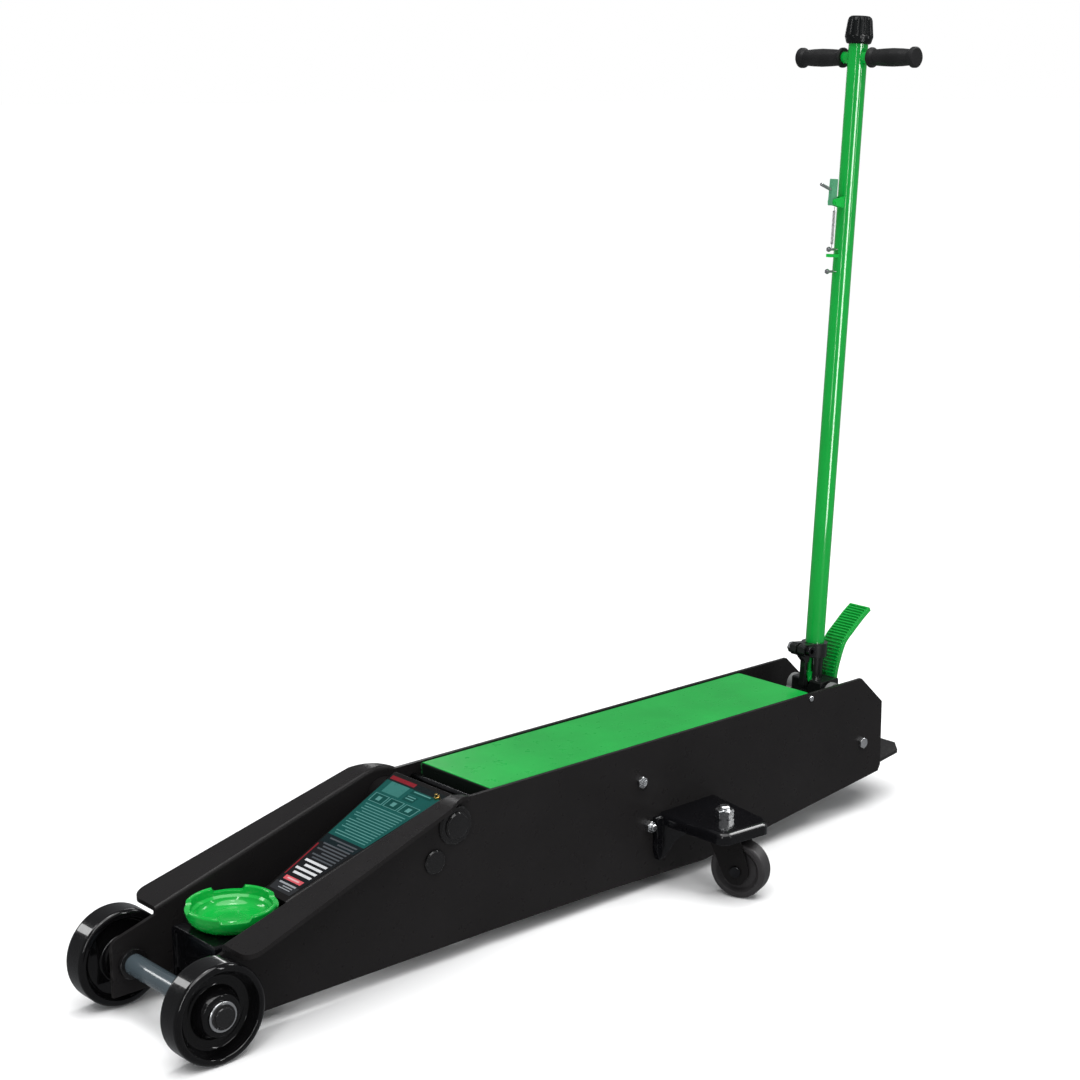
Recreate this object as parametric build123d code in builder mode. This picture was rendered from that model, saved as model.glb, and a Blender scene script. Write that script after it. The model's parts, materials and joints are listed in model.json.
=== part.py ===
from build123d import *
import os
from math import cos, sin, radians, atan2, degrees, hypot, pi

os.makedirs("parts", exist_ok=True)

# ------------------------------------------------------------------------------------
# Long-chassis hydraulic trolley jack, lowered.  Millimetres, +Z up, floor at Z = 0.
# Front (saddle end) is -X, handle end is +X, left side is -Y.
# The origin is on the floor, under the middle of the jack's bounding box.
# ------------------------------------------------------------------------------------

# chassis
X0 = -653.0            # front axle
AXLE_Z = 65.0          # front axle height = front wheel radius
PLATE_T = 6.0          # side plate thickness
HALF_IN = 77.0         # inner face of a side plate
HALF_OUT = HALF_IN + PLATE_T
TOP_Z = 226.0          # straight top edge of the side plates
SLOPE = 0.2995         # rise of the sloping front edge
FLANGE_W = 139.0       # |Y| of the flange's outer edge at its front
FLANGE_END_W = 113.5   # |Y| of the flange's outer edge by the pivot
FLANGE_X = X0 + 38.5   # front end of the flange
# front wheels
WHEEL_R = 65.0
WHEEL_IN = 94.0        # |Y| of the inner face
WHEEL_W = 38.5
AXLE_R = 14.0
AXLE_HALF = 138.5
FIT = 0.05             # radial running clearance
# lift arm parallelogram
PIVOT_X, PIVOT_Z = X0 + 405.0, 193.0
ARM_LEN = 329.0
ARM_DOWN = 20.8        # the arm's droop when lowered, degrees
ARM_SWING = 80.0
LINK_DX, LINK_DZ = -36.0, -43.0       # from each arm pivot to its link pivot
SHAFT_R = 19.0
PIV_R = 26.5           # outer radius of the arm's pivot tube
# saddle
BR_HALF = 50.5         # outer half width of the saddle bracket
BR_T = 6.0
BR_TOP = 113.5
# crank and ram
CRANK_R = 112.0        # crank pin's distance from the arm pivot
CRANK_LAG = 40.0       # crank pin's angle behind straight down when lowered, degrees
RAM_Z = 94.0
RAM_R = 21.0
SLOT_HALF = 14.8       # half width of the slot in the ram head
# handle
SOCK_X, SOCK_Z = X0 + 1222.0, 196.0
LEAN = 4.25
TUBE_R = 15.0
# rear casters
CAST_X, CAST_Y = X0 + 844.0, 161.5    # king bolt
CAST_TRAIL = 27.0
CAST_R = 42.0
CAST_TURN = 20.0       # how far the left caster has swung from square to the jack, degrees
SHELF_Z = 114.3

# derived points
ca, sa = cos(radians(ARM_DOWN)), sin(radians(ARM_DOWN))
TIP_X, TIP_Z = PIVOT_X - ARM_LEN * ca, PIVOT_Z - ARM_LEN * sa
LP_X, LP_Z = PIVOT_X + LINK_DX, PIVOT_Z + LINK_DZ
LT_X, LT_Z = TIP_X + LINK_DX, TIP_Z + LINK_DZ
SAD_X = TIP_X + 6.5
BR_FRONT, BR_REAR = SAD_X - 59.0, SAD_X + 41.0
CP_X = PIVOT_X + CRANK_R * sin(radians(CRANK_LAG))
CP_Z = PIVOT_Z - CRANK_R * cos(radians(CRANK_LAG))
CRANK_U = -(CP_X - PIVOT_X) * ca - (CP_Z - PIVOT_Z) * sa
CRANK_V = -(CP_X - PIVOT_X) * sa + (CP_Z - PIVOT_Z) * ca

# plane of the arm: local x runs from the pivot to the tip, local y is square to it, upwards
ARM = Plane(origin=(PIVOT_X, 0, PIVOT_Z), x_dir=(-ca, 0, -sa), z_dir=(0, 1, 0))
LINKP = Plane(origin=(LP_X, 0, LP_Z), x_dir=(-ca, 0, -sa), z_dir=(0, 1, 0))


def arm_section(u):
    """Plane square to the arm at a distance u from the pivot; local x is +Y, local y is up."""
    return Plane(origin=(PIVOT_X - ca * u, 0, PIVOT_Z - sa * u), x_dir=(0, 1, 0), z_dir=(ca, 0, sa))


def radial(x, z):
    """Plane for turning a profile about a cross axis: local x is +Y, local y is the radius."""
    return Plane(origin=(x, 0, z), x_dir=(0, 1, 0), z_dir=(1, 0, 0))


def coil(start, direction, length, radius, wire_r, turns):
    """Helical spring of round wire about the line from start along direction."""
    path = Helix(pitch=length / turns, height=length, radius=radius, center=start, direction=direction)
    return sweep(Plane(origin=path @ 0, z_dir=path % 0) * Circle(wire_r), path=path)


def save(builder, name):
    builder.part.label = name
    export_step(builder.part, "parts/" + name + ".step")


# ------------------------------------------------------------------ side plates
BOLTS = [(X0 + 752, 170.0, 5.0), (X0 + 767, 99.0, 5.0), (X0 + 1245, 118.6, 6.0)]
SCREW = (X0 + 1119, 218.5, 2.5)
FRONT_ROD = (X0 + 461, 206.0, 6.0)

# outward flange: a band that follows the sloping edge and the hump, trimmed in plan
with BuildPart() as flange:
    with BuildSketch(Plane.XZ.offset(HALF_IN)):
        with BuildLine():
            Line((X0 + 38.5, 129.8), (X0 + 378, 231.5))
            TangentArc((X0 + 378, 231.5), (X0 + 433, TOP_Z), tangent=(1, SLOPE))
            Line((X0 + 433, TOP_Z), (X0 + 429, TOP_Z - 4.5))
            TangentArc((X0 + 379.5, 225.7), (X0 + 429, TOP_Z - 4.5), tangent=(1, SLOPE))
            Line((X0 + 379.5, 225.7), (X0 + 38.5, 123.5))
            Line((X0 + 38.5, 123.5), (X0 + 38.5, 129.8))
        make_face()
    extrude(amount=70)
    with BuildSketch(Plane.XY):
        with BuildLine():
            Polyline((FLANGE_X, -HALF_IN), (FLANGE_X, -FLANGE_W), (X0 + 375, -FLANGE_END_W),
                     (X0 + 433, -HALF_OUT), (X0 + 433, -HALF_IN), close=True)
        make_face()
        fillet(vertices().sort_by_distance((FLANGE_X, -FLANGE_W, 0))[0], 19)
    extrude(amount=300, mode=Mode.INTERSECT)

with BuildPart() as left_side_plate:
    with BuildSketch(Plane.XZ.offset(HALF_IN)):
        with BuildLine():
            l1 = Polyline((X0 + 433, TOP_Z), (X0 + 1241, TOP_Z), (X0 + 1292.5, 178), (X0 + 1292.5, 71),
                          (X0 + 1287, 61.5), (X0 + 885, 15.5), (X0 + 690, 22), (X0 + 470, 24.3),
                          (X0 - 28, 24.3), (X0 - 28, 99.8), (X0 + 38.5, 119.7), (X0 + 38.5, 129.8),
                          (X0 + 378, 231.5))
            TangentArc((X0 + 378, 231.5), (X0 + 433, TOP_Z), tangent=(1, SLOPE))
        make_face()
        with Locations((X0, AXLE_Z)):
            Circle(AXLE_R, mode=Mode.SUBTRACT)
        with Locations((PIVOT_X, PIVOT_Z)):
            Circle(SHAFT_R, mode=Mode.SUBTRACT)
        with Locations((LP_X, LP_Z)):
            Circle(10, mode=Mode.SUBTRACT)
        for bx, bz, br in BOLTS + [SCREW]:
            with Locations((bx, bz)):
                Circle(br, mode=Mode.SUBTRACT)
    extrude(amount=PLATE_T)
    front_top = left_side_plate.edges().filter_by(Axis.Y).sort_by_distance((X0 - 28, -80, 99.8))[0]
    fillet(front_top, 14)
    add(flange.part)
    bend = left_side_plate.edges().filter_by(lambda e: abs(e.center().Y + HALF_IN) < 0.01 and e.length > 300 and 150 < e.center().Z < 215)
    fillet(bend, 5.5)
save(left_side_plate, "left_side_plate")

with BuildPart() as right_side_plate:
    mirror(left_side_plate.part, about=Plane.XZ)
save(right_side_plate, "right_side_plate")

# ------------------------------------------------------------------ front axle and wheels
SEAT = WHEEL_IN + WHEEL_W + 0.4       # |Y| of the outer washer's inner face
with BuildPart() as front_axle:
    with BuildSketch(Plane.XZ):
        with Locations((X0, AXLE_Z)):
            Circle(AXLE_R)
    extrude(amount=SEAT + 2.6, both=True)
    with BuildSketch(Plane.XZ):
        with Locations((X0, AXLE_Z)):
            Circle(12.7)
    extrude(amount=AXLE_HALF, both=True)
    chamfer(front_axle.edges().filter_by(lambda e: abs(e.center().Y) > AXLE_HALF - 0.5), 1.0)
save(front_axle, "front_axle")

with BuildPart() as axle_collars:
    for side in (-1, 1):
        with BuildSketch(Plane.XZ.offset(-side * (HALF_IN - 7) if side < 0 else -HALF_IN)):
            with Locations((X0, AXLE_Z)):
                Circle(20)
                Circle(AXLE_R, mode=Mode.SUBTRACT)
        extrude(amount=7)
        with BuildSketch(Plane.XZ.offset(HALF_OUT if side < 0 else -(WHEEL_IN - 0.5))):
            with Locations((X0, AXLE_Z)):
                Circle(21)
                Circle(AXLE_R, mode=Mode.SUBTRACT)
        extrude(amount=WHEEL_IN - 0.5 - HALF_OUT)

# retaining rings on the stepped ends of the axle
with BuildPart() as axle_rings:
    add(axle_collars.part)
    for side in (-1, 1):
        y0 = SEAT + 2.6
        with BuildSketch(Plane.XZ.offset(y0 if side < 0 else -(y0 + 1.4))) as rr:
            with Locations((X0, AXLE_Z)):
                Circle(16.3)
                Circle(12.7, mode=Mode.SUBTRACT)
                with PolarLocations(15.5, 1, start_angle=235):
                    Rectangle(8, 3.4, mode=Mode.SUBTRACT)
        extrude(amount=1.4)
save(axle_rings, "axle_rings")

with BuildPart() as axle_washers:
    for side in (-1, 1):
        with BuildSketch(Plane.XZ.offset(SEAT if side < 0 else -(SEAT + 2.6))):
            with Locations((X0, AXLE_Z)):
                Circle(19.6)
                Circle(AXLE_R, mode=Mode.SUBTRACT)
        extrude(amount=2.6)
    chamfer(axle_washers.edges().filter_by(lambda e: e.geom_type == GeomType.CIRCLE and abs(e.radius - 19.6) < 0.1), 0.5)
save(axle_washers, "axle_washers")

W0, W1 = WHEEL_IN, WHEEL_IN + WHEEL_W
with BuildPart() as left_front_wheel:
    with BuildSketch(radial(X0, AXLE_Z)) as wheel_profile:
        with BuildLine():
            Polyline((-W0, AXLE_R + FIT), (-W0, 27), (-W0 - 7, 31), (-W0 - 9, 50), (-W0, 55.5),
                     (-W0, WHEEL_R), (-W1, WHEEL_R), (-W1, 56), (-W1 + 18, 48), (-W1 + 18, 34), (-W1 + 7, 30.5),
                     (-W1, 26.5), (-W1, AXLE_R + FIT), close=True)
        make_face()
        for px, py, fr in ((-W1, WHEEL_R, 6.5), (-W0, WHEEL_R, 5.0), (-W1, 56, 3.0), (-W0, 55.5, 2.5), (-W1 + 18, 48, 7.0),
                           (-W1 + 18, 34, 4.0), (-W1 + 7, 30.5, 3.0), (-W1, 26.5, 2.5), (-W0 - 9, 50, 4.0), (-W0 - 7, 31, 3.0)):
            fillet(wheel_profile.vertices().sort_by_distance((px, py, 0))[0], fr)
    revolve(axis=Axis((X0, 0, AXLE_Z), (0, 1, 0)))
    # parting bead round the middle of the tread
    with BuildSketch(radial(X0, AXLE_Z)):
        with Locations((-W0 - 21, WHEEL_R - 0.35)):
            Rectangle(1.6, 0.7)
    revolve(axis=Axis((X0, 0, AXLE_Z), (0, 1, 0)))
save(left_front_wheel, "left_front_wheel")

with BuildPart() as right_front_wheel:
    mirror(left_front_wheel.part, about=Plane.XZ)
save(right_front_wheel, "right_front_wheel")

# ------------------------------------------------------------------ pivots of the chassis
with BuildPart() as arm_pivot_shaft:
    with BuildSketch(Plane.XZ):
        with Locations((PIVOT_X, PIVOT_Z)):
            Circle(SHAFT_R)
    extrude(amount=HALF_OUT + 8, both=True)
    chamfer(arm_pivot_shaft.edges().filter_by(GeomType.CIRCLE), 2)
save(arm_pivot_shaft, "arm_pivot_shaft")

with BuildPart() as pivot_shaft_rings:
    for side in (-1, 1):
        with BuildSketch(Plane.XZ.offset(HALF_OUT if side < 0 else -(HALF_OUT + 4.5))):
            with Locations((PIVOT_X, PIVOT_Z)):
                Circle(27.5)
                Circle(SHAFT_R, mode=Mode.SUBTRACT)
        extrude(amount=4.5)
    chamfer(pivot_shaft_rings.edges().filter_by(lambda e: e.geom_type == GeomType.CIRCLE and abs(e.radius - 27.5) < 0.1 and abs(e.center().Y) > HALF_OUT + 1), 2.5)
save(pivot_shaft_rings, "pivot_shaft_rings")

with BuildPart() as link_pins:
    for side in (-1, 1):
        with BuildSketch(Plane.XZ.offset(67.0 if side < 0 else -HALF_OUT)):
            with Locations((LP_X, LP_Z)):
                Circle(10)
        extrude(amount=HALF_OUT - 67.0)
        with BuildSketch(Plane.XZ.offset(HALF_OUT if side < 0 else -(HALF_OUT + 4))):
            with Locations((LP_X, LP_Z)):
                Circle(16.5)
        extrude(amount=4)
    chamfer(link_pins.edges().filter_by(lambda e: e.geom_type == GeomType.CIRCLE and abs(e.center().Y) > HALF_OUT + 1), 1.5)
save(link_pins, "link_pins")

with BuildPart() as front_stay_rod:
    with BuildSketch(Plane.XZ):
        with Locations(FRONT_ROD[:2]):
            Circle(6)
    extrude(amount=HALF_IN, both=True)
save(front_stay_rod, "front_stay_rod")

# ------------------------------------------------------------------ lift arm
def arm_half(u):
    return 70.0 - 0.138 * (u + 17) if u < 230 else 70.0 - 0.138 * 247


# hollow of the arm's inverted channel
with BuildPart() as core:
    for u in (-30, 230, 360):
        with BuildSketch(arm_section(u)) as s2:
            w = arm_half(u) - 8
            with Locations((0, -11)):
                Rectangle(2 * w, 62)
            fillet(s2.vertices().sort_by(Axis.Y)[-2:], 5.5)
    loft(ruled=True)

with BuildPart() as lift_arm:
    for u in (-26, 230, 356):
        with BuildSketch(arm_section(u)) as s:
            w = arm_half(u)
            with Locations((0, -1)):
                Rectangle(2 * w, 58)
            fillet(s.vertices().sort_by(Axis.Y)[-2:], 13)
    loft(ruled=True)
    add(core.part, mode=Mode.SUBTRACT)
    # side outline of the arm
    with BuildSketch(ARM):
        with BuildLine():
            Polyline((-24, 28), (243, 28), (258, 9), (ARM_LEN - 24, 9), (ARM_LEN, 0), (ARM_LEN - 6, -24), (60, -30),
                     (30, -30), (-10, -30), (-24, -22), close=True)
        make_face()
        with Locations((ARM_LEN, 0)):
            Circle(24)
    extrude(amount=90, both=True, mode=Mode.INTERSECT)
    # open the front of the web, so that the saddle bracket can turn over the tip
    with BuildSketch(ARM):
        with Locations((243 + 70, 5)):
            Rectangle(140, 70)
    extrude(amount=arm_half(300) - 8, both=True, mode=Mode.SUBTRACT)
    # pivot bores
    with BuildSketch(ARM):
        Circle(PIV_R)
        with Locations((ARM_LEN, 0)):
            Circle(10.2)
    extrude(amount=90, both=True, mode=Mode.SUBTRACT)
save(lift_arm, "lift_arm")

with BuildPart() as arm_pivot_tube:
    with BuildSketch(ARM):
        Circle(PIV_R)
        Circle(SHAFT_R + FIT, mode=Mode.SUBTRACT)
    extrude(amount=HALF_IN - 1.0, both=True)
save(arm_pivot_tube, "arm_pivot_tube")

# two crank plates under the arm, and the lower brace plate that ties them
CR_IN, CR_OUT = 31.5, 40.5
LOW_K, LOW_V = 0.40, -57.0 - 0.40 * 232    # lower edge of the crank plates: slope and offset
with BuildPart() as arm_crank_plates:
    with BuildSketch(ARM) as cs:
        with BuildLine():
            Polyline((-26, -31), (CRANK_U - 22, CRANK_V + 12), (CRANK_U - 22, CRANK_V - 25), (60, -128),
                     (78, LOW_V + LOW_K * 78), (232, LOW_V + LOW_K * 232), (254, -44), (254, -31), close=True)
        make_face()
        fillet(cs.vertices().sort_by_distance((CRANK_U - 22, CRANK_V - 8, 0))[:2], 16)
        with BuildLine():
            Polyline((62, -44), (190, -44), (100, -90), (56, -102), close=True)
        make_face(mode=Mode.SUBTRACT)
        with Locations((CRANK_U, CRANK_V)):
            Circle(12, mode=Mode.SUBTRACT)
        Circle(PIV_R, mode=Mode.SUBTRACT)
    extrude(amount=CR_OUT, both=True)
    with BuildSketch(ARM):
        with Locations((110, -80)):
            Rectangle(420, 190)
    extrude(amount=CR_IN, both=True, mode=Mode.SUBTRACT)
save(arm_crank_plates, "arm_crank_plates")

with BuildPart() as arm_brace:
    with BuildSketch(ARM):
        with BuildLine():
            Polyline((80, LOW_V + LOW_K * 80), (232, LOW_V + LOW_K * 232), (250, -46.2), (250, -38), (229, -51.5),
                     (80, LOW_V + LOW_K * 80 + 6.5), close=True)
        make_face()
    extrude(amount=CR_IN, both=True)
save(arm_brace, "arm_brace")

with BuildPart() as crank_pin:
    with BuildSketch(ARM):
        with Locations((CRANK_U, CRANK_V)):
            Circle(12)
    extrude(amount=CR_OUT + 4, both=True)
    chamfer(crank_pin.edges().filter_by(GeomType.CIRCLE), 1.5)
save(crank_pin, "crank_pin")

GN = (-8.0, 50.0)       # grease nipple: distance along the arm, and |Y|
with BuildPart() as grease_nipple:
    with BuildSketch(Plane(origin=(PIVOT_X - ca * GN[0] - sa * 28, -GN[1], PIVOT_Z - sa * GN[0] + ca * 28), x_dir=(0, 1, 0), z_dir=(-sa, 0, ca))):
        RegularPolygon(4.5, 6)
    extrude(amount=3)
    with BuildSketch(Plane(origin=(PIVOT_X - ca * GN[0] - sa * 31, -GN[1], PIVOT_Z - sa * GN[0] + ca * 31), x_dir=(0, 1, 0), z_dir=(-sa, 0, ca))):
        Circle(2.8)
    extrude(amount=4, taper=12)
save(grease_nipple, "grease_nipple")

# ------------------------------------------------------------------ levelling links
LINK_W, LINK_T = 35.0, 8.0
Y_REAR, Y_FRONT = 67.4, 51.4         # |Y| of a link's inner face at the chassis and at the bracket
with BuildPart() as left_level_link:
    # plan shape of the bent bar: local x along the link, local y is -Y
    with BuildSketch(Plane(origin=(LP_X, 0, LP_Z), x_dir=(-ca, 0, -sa), z_dir=(-sa, 0, ca))) as lk:
        with BuildLine():
            Polyline((-30, -Y_REAR), (60, -Y_REAR), (250, -Y_FRONT), (ARM_LEN + 30, -Y_FRONT),
                     (ARM_LEN + 30, -Y_FRONT - LINK_T), (249.5, -Y_FRONT - LINK_T), (59.5, -Y_REAR - LINK_T), (-30, -Y_REAR - LINK_T), close=True)
        make_face()
    extrude(amount=40, both=True)
    with BuildSketch(LINKP):
        with Locations((ARM_LEN / 2, 0)):
            SlotCenterToCenter(ARM_LEN, LINK_W)
        with Locations((0, 0)):
            Circle(10 + FIT, mode=Mode.SUBTRACT)
        with Locations((ARM_LEN, 0)):
            Circle(9.4, mode=Mode.SUBTRACT)
    extrude(amount=120, both=True, mode=Mode.INTERSECT)
save(left_level_link, "left_level_link")

with BuildPart() as right_level_link:
    mirror(left_level_link.part, about=Plane.XZ)
save(right_level_link, "right_level_link")


# ------------------------------------------------------------------ saddle bracket
with BuildPart() as saddle_bracket:
    with BuildSketch(Plane.XZ) as cheek:
        with BuildLine():
            Polyline((BR_FRONT, BR_TOP), (BR_REAR, BR_TOP), (BR_REAR, 64), (BR_REAR - 12.5, 47), (BR_REAR - 12.5, 34),
                     (LT_X + 6, LT_Z - 16.6), (BR_FRONT, LT_Z - 17), close=True)
        make_face()
        fillet(cheek.vertices().sort_by_distance((BR_FRONT, LT_Z - 17, 0))[:1], 15)
        fillet(cheek.vertices().sort_by_distance((BR_REAR - 12.5, 34, 0))[:1], 5)
        fillet(cheek.vertices().sort_by_distance((BR_REAR - 12.5, 47, 0))[:1], 8)
        fillet(cheek.vertices().sort_by_distance((BR_REAR, 64, 0))[:1], 14)
    extrude(amount=BR_HALF, both=True)
    with BuildSketch(Plane.XZ):
        with Locations((SAD_X, BR_TOP - BR_T - 60)):
            Rectangle(160, 120)
    extrude(amount=BR_HALF - BR_T, both=True, mode=Mode.SUBTRACT)
    fillet(saddle_bracket.edges().filter_by(lambda e: abs(e.center().Z - BR_TOP) < 0.1 and abs(abs(e.center().Y) - BR_HALF) < 0.1 and e.length > 80), 8)
    fillet(saddle_bracket.edges().filter_by(lambda e: abs(e.center().Z - BR_TOP + BR_T) < 0.1 and abs(abs(e.center().Y) - BR_HALF + BR_T) < 0.1 and e.length > 80), 3)
    with BuildSketch(Plane.XZ):
        with Locations((TIP_X, TIP_Z)):
            Circle(10.15)
        with Locations((LT_X, LT_Z)):
            Circle(9.35)
    extrude(amount=80, both=True, mode=Mode.SUBTRACT)
    with BuildSketch(Plane.XY):
        with Locations((SAD_X, 0)):
            Circle(15 + FIT)
    extrude(amount=200, mode=Mode.SUBTRACT)
save(saddle_bracket, "saddle_bracket")

with BuildPart() as bracket_front_plate:
    with BuildSketch(Plane.YZ.offset(BR_FRONT + 3.5)):
        with Locations((0, BR_TOP - 33)):
            Rectangle(2 * (BR_HALF - BR_T), 54)
    extrude(amount=6)
    fillet(bracket_front_plate.edges().filter_by(Axis.X).group_by(Axis.Z)[-1], 3.2)
save(bracket_front_plate, "bracket_front_plate")

with BuildPart() as bracket_cross_tube:
    with BuildSketch(Plane.XZ):
        with Locations((LT_X, LT_Z)):
            Circle(13.5)
            Circle(9.35, mode=Mode.SUBTRACT)
    extrude(amount=BR_HALF - BR_T, both=True)
save(bracket_cross_tube, "bracket_cross_tube")

TIPP = Plane(origin=(TIP_X, 0, TIP_Z), x_dir=(-ca, 0, -sa), z_dir=(0, 1, 0))
LTP = Plane(origin=(LT_X, 0, LT_Z), x_dir=(-ca, 0, -sa), z_dir=(0, 1, 0))
with BuildPart() as bracket_upper_pin:
    with BuildSketch(TIPP):
        Circle(10.15)
    extrude(amount=BR_HALF, both=True)
    for side in (-1, 1):
        with BuildSketch(TIPP.offset(side * BR_HALF)):
            RegularPolygon(18.0 / 2, 6, major_radius=False)
        extrude(amount=side * 7)
    # spacer sleeves between the arm's tip and the bracket's cheeks
    for side in (-1, 1):
        with BuildSketch(TIPP.offset(side * 36.5)):
            Circle(16)
        extrude(amount=side * (BR_HALF - BR_T - 36.5))
    chamfer(bracket_upper_pin.faces().sort_by(Axis.Y)[0].edges(), 1)
    chamfer(bracket_upper_pin.faces().sort_by(Axis.Y)[-1].edges(), 1)
save(bracket_upper_pin, "bracket_upper_pin")

with BuildPart() as bracket_lower_pin:
    y1 = Y_FRONT + LINK_T + 0.4
    with BuildSketch(LTP):
        Circle(9.35)
    extrude(amount=y1, both=True)
    for side in (-1, 1):
        with BuildSketch(LTP.offset(side * y1)):
            Circle(15)
        extrude(amount=side * 2)
        with BuildSketch(LTP.offset(side * (y1 + 2))):
            RegularPolygon(22.0 / 2, 6, major_radius=False)
        extrude(amount=side * 9)
    chamfer(bracket_lower_pin.faces().sort_by(Axis.Y)[0].edges(), 1.2)
    chamfer(bracket_lower_pin.faces().sort_by(Axis.Y)[-1].edges(), 1.2)
save(bracket_lower_pin, "bracket_lower_pin")

# ------------------------------------------------------------------ saddle
with BuildPart() as saddle:
    with BuildSketch(Plane(origin=(SAD_X, 0, 0), x_dir=(1, 0, 0), z_dir=(0, -1, 0))):
        with BuildLine():
            Line((0, 97), (15, 97))
            Line((15, 97), (15, BR_TOP + 0.4))
            Line((15, BR_TOP + 0.4), (36, BR_TOP + 0.4))
            ThreePointArc((36, BR_TOP + 0.4), (54.5, 122.5), (59.6, 134))
            Line((59.6, 134), (60, 140))
            ThreePointArc((60, 140), (57.5, 143.2), (53.8, 141.5))
            Line((53.8, 141.5), (52.0, 132.2))
            Line((52.0, 132.2), (48.6, 129.4))
            ThreePointArc((48.6, 129.4), (43.6, 122.9), (33, 120.5))
            Line((33, 120.5), (18, 120.5))
            Line((18, 120.5), (15, 122.2))
            Line((15, 122.2), (0, 122.2))
            Line((0, 122.2), (0, 97))
        make_face()
    revolve(axis=Axis((SAD_X, 0, 0), (0, 0, 1)))
    # four low stretches of the rim between four raised lobes
    for k in range(4):
        mid = 16 + 45 + 90 * k
        with BuildSketch(Plane(origin=(SAD_X, 0, 0), x_dir=(-sin(radians(mid)), cos(radians(mid)), 0), z_dir=(cos(radians(mid)), sin(radians(mid)), 0))):
            with BuildLine():
                Polyline((-26, 150), (-18.5, 136.6), (18.5, 136.6), (26, 150), close=True)
            make_face()
            fillet(vertices().group_by(Axis.Y)[0], 4)
        extrude(amount=80, mode=Mode.SUBTRACT)
    # retaining groove ring at the bottom of the stem
    with BuildSketch(Plane.XY.offset(BR_TOP - BR_T - 4.5)):
        with Locations((SAD_X, 0)):
            Circle(19)
            Circle(15, mode=Mode.SUBTRACT)
    extrude(amount=2.5)
save(saddle, "saddle")

# ------------------------------------------------------------------ ram with slotted head
SLOT_LO = PIVOT_Z - CRANK_R - 1.5
SLOT_HI = CP_Z + 1.5
SPR_X0, SPR_X1, SPR_Y = CP_X + 35, X0 + 742.0, 47.0     # return springs
with BuildPart() as ram:
    with BuildSketch(Plane.XZ) as hd:
        with BuildLine():
            Polyline((CP_X - SLOT_HALF - 11, SLOT_LO - SLOT_HALF - 9), (CP_X + SLOT_HALF + 13, SLOT_LO - SLOT_HALF - 9),
                     (CP_X + SLOT_HALF + 27, RAM_Z - 20), (CP_X + SLOT_HALF + 27, RAM_Z + 20),
                     (CP_X + SLOT_HALF + 13, SLOT_HI + SLOT_HALF + 9), (CP_X - SLOT_HALF - 11, SLOT_HI + SLOT_HALF + 9), close=True)
        make_face()
        fillet(hd.vertices().group_by(Axis.X)[0], 9)
    extrude(amount=30, both=True)
    with BuildSketch(Plane.XZ):
        with Locations((CP_X, (SLOT_LO + SLOT_HI) / 2)):
            SlotCenterToCenter(SLOT_HI - SLOT_LO, 2 * SLOT_HALF, rotation=90)
    extrude(amount=60, both=True, mode=Mode.SUBTRACT)
    # gap between the two cheeks of the head
    with BuildSketch(Plane.XZ):
        with Locations((CP_X - 10, RAM_Z)):
            Rectangle(2 * SLOT_HALF + 40, 150)
    extrude(amount=17, both=True, mode=Mode.SUBTRACT)
    with BuildSketch(Plane.YZ.offset(CP_X + SLOT_HALF + 20)):
        with Locations((0, RAM_Z)):
            Circle(RAM_R)
    extrude(amount=306)
    with BuildSketch(Plane.XZ):
        with Locations((SPR_X0, RAM_Z)):
            Circle(3.5)
    extrude(amount=SPR_Y + 3, both=True)
save(ram, "ram")

# return springs between the ram head and the unit's front support
coils = [coil((SPR_X0 + 11, side * SPR_Y, RAM_Z), (1, 0, 0), SPR_X1 - SPR_X0 - 22, 6.5, 1.6, 27) for side in (-1, 1)]
with BuildPart() as return_springs:
    for side in (-1, 1):
        add(coils[0] if side < 0 else coils[1])
        # straight hooks at both ends
        with BuildSketch(Plane.YZ.offset(SPR_X0 + 3.5)):
            with Locations((side * SPR_Y, RAM_Z)):
                Circle(1.6)
        extrude(amount=9)
        with BuildSketch(Plane.YZ.offset(SPR_X1)):
            with Locations((side * SPR_Y, RAM_Z)):
                Circle(1.6)
        extrude(amount=-13)
        for hx in (SPR_X0 + 11, SPR_X1 - 11):
            with BuildSketch(Plane.YZ.offset(hx - 1.6)):
                with Locations((side * SPR_Y, RAM_Z)):
                    Rectangle(16, 3.2)
            extrude(amount=3.2)
save(return_springs, "return_springs")

# ------------------------------------------------------------------ hydraulic unit
CYL_X0, CYL_X1 = X0 + 605, X0 + 1052
RES_X0, RES_X1 = X0 + 792, X0 + 1052
with BuildPart() as ram_cylinder:
    with BuildSketch(Plane.YZ.offset(CYL_X0)):
        with Locations((0, RAM_Z)):
            Circle(31)
    extrude(amount=CYL_X1 - CYL_X0)
    with BuildSketch(Plane.YZ.offset(CYL_X0)):
        with Locations((0, RAM_Z)):
            Circle(36)
    extrude(amount=22)
    with BuildSketch(Plane.YZ.offset(CYL_X0)):
        with Locations((0, RAM_Z)):
            Circle(RAM_R + FIT)
    extrude(amount=240, mode=Mode.SUBTRACT)
    chamfer(ram_cylinder.edges().filter_by(lambda e: e.geom_type == GeomType.CIRCLE and abs(e.radius - 36) < 0.1), 2)
save(ram_cylinder, "ram_cylinder")

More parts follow.
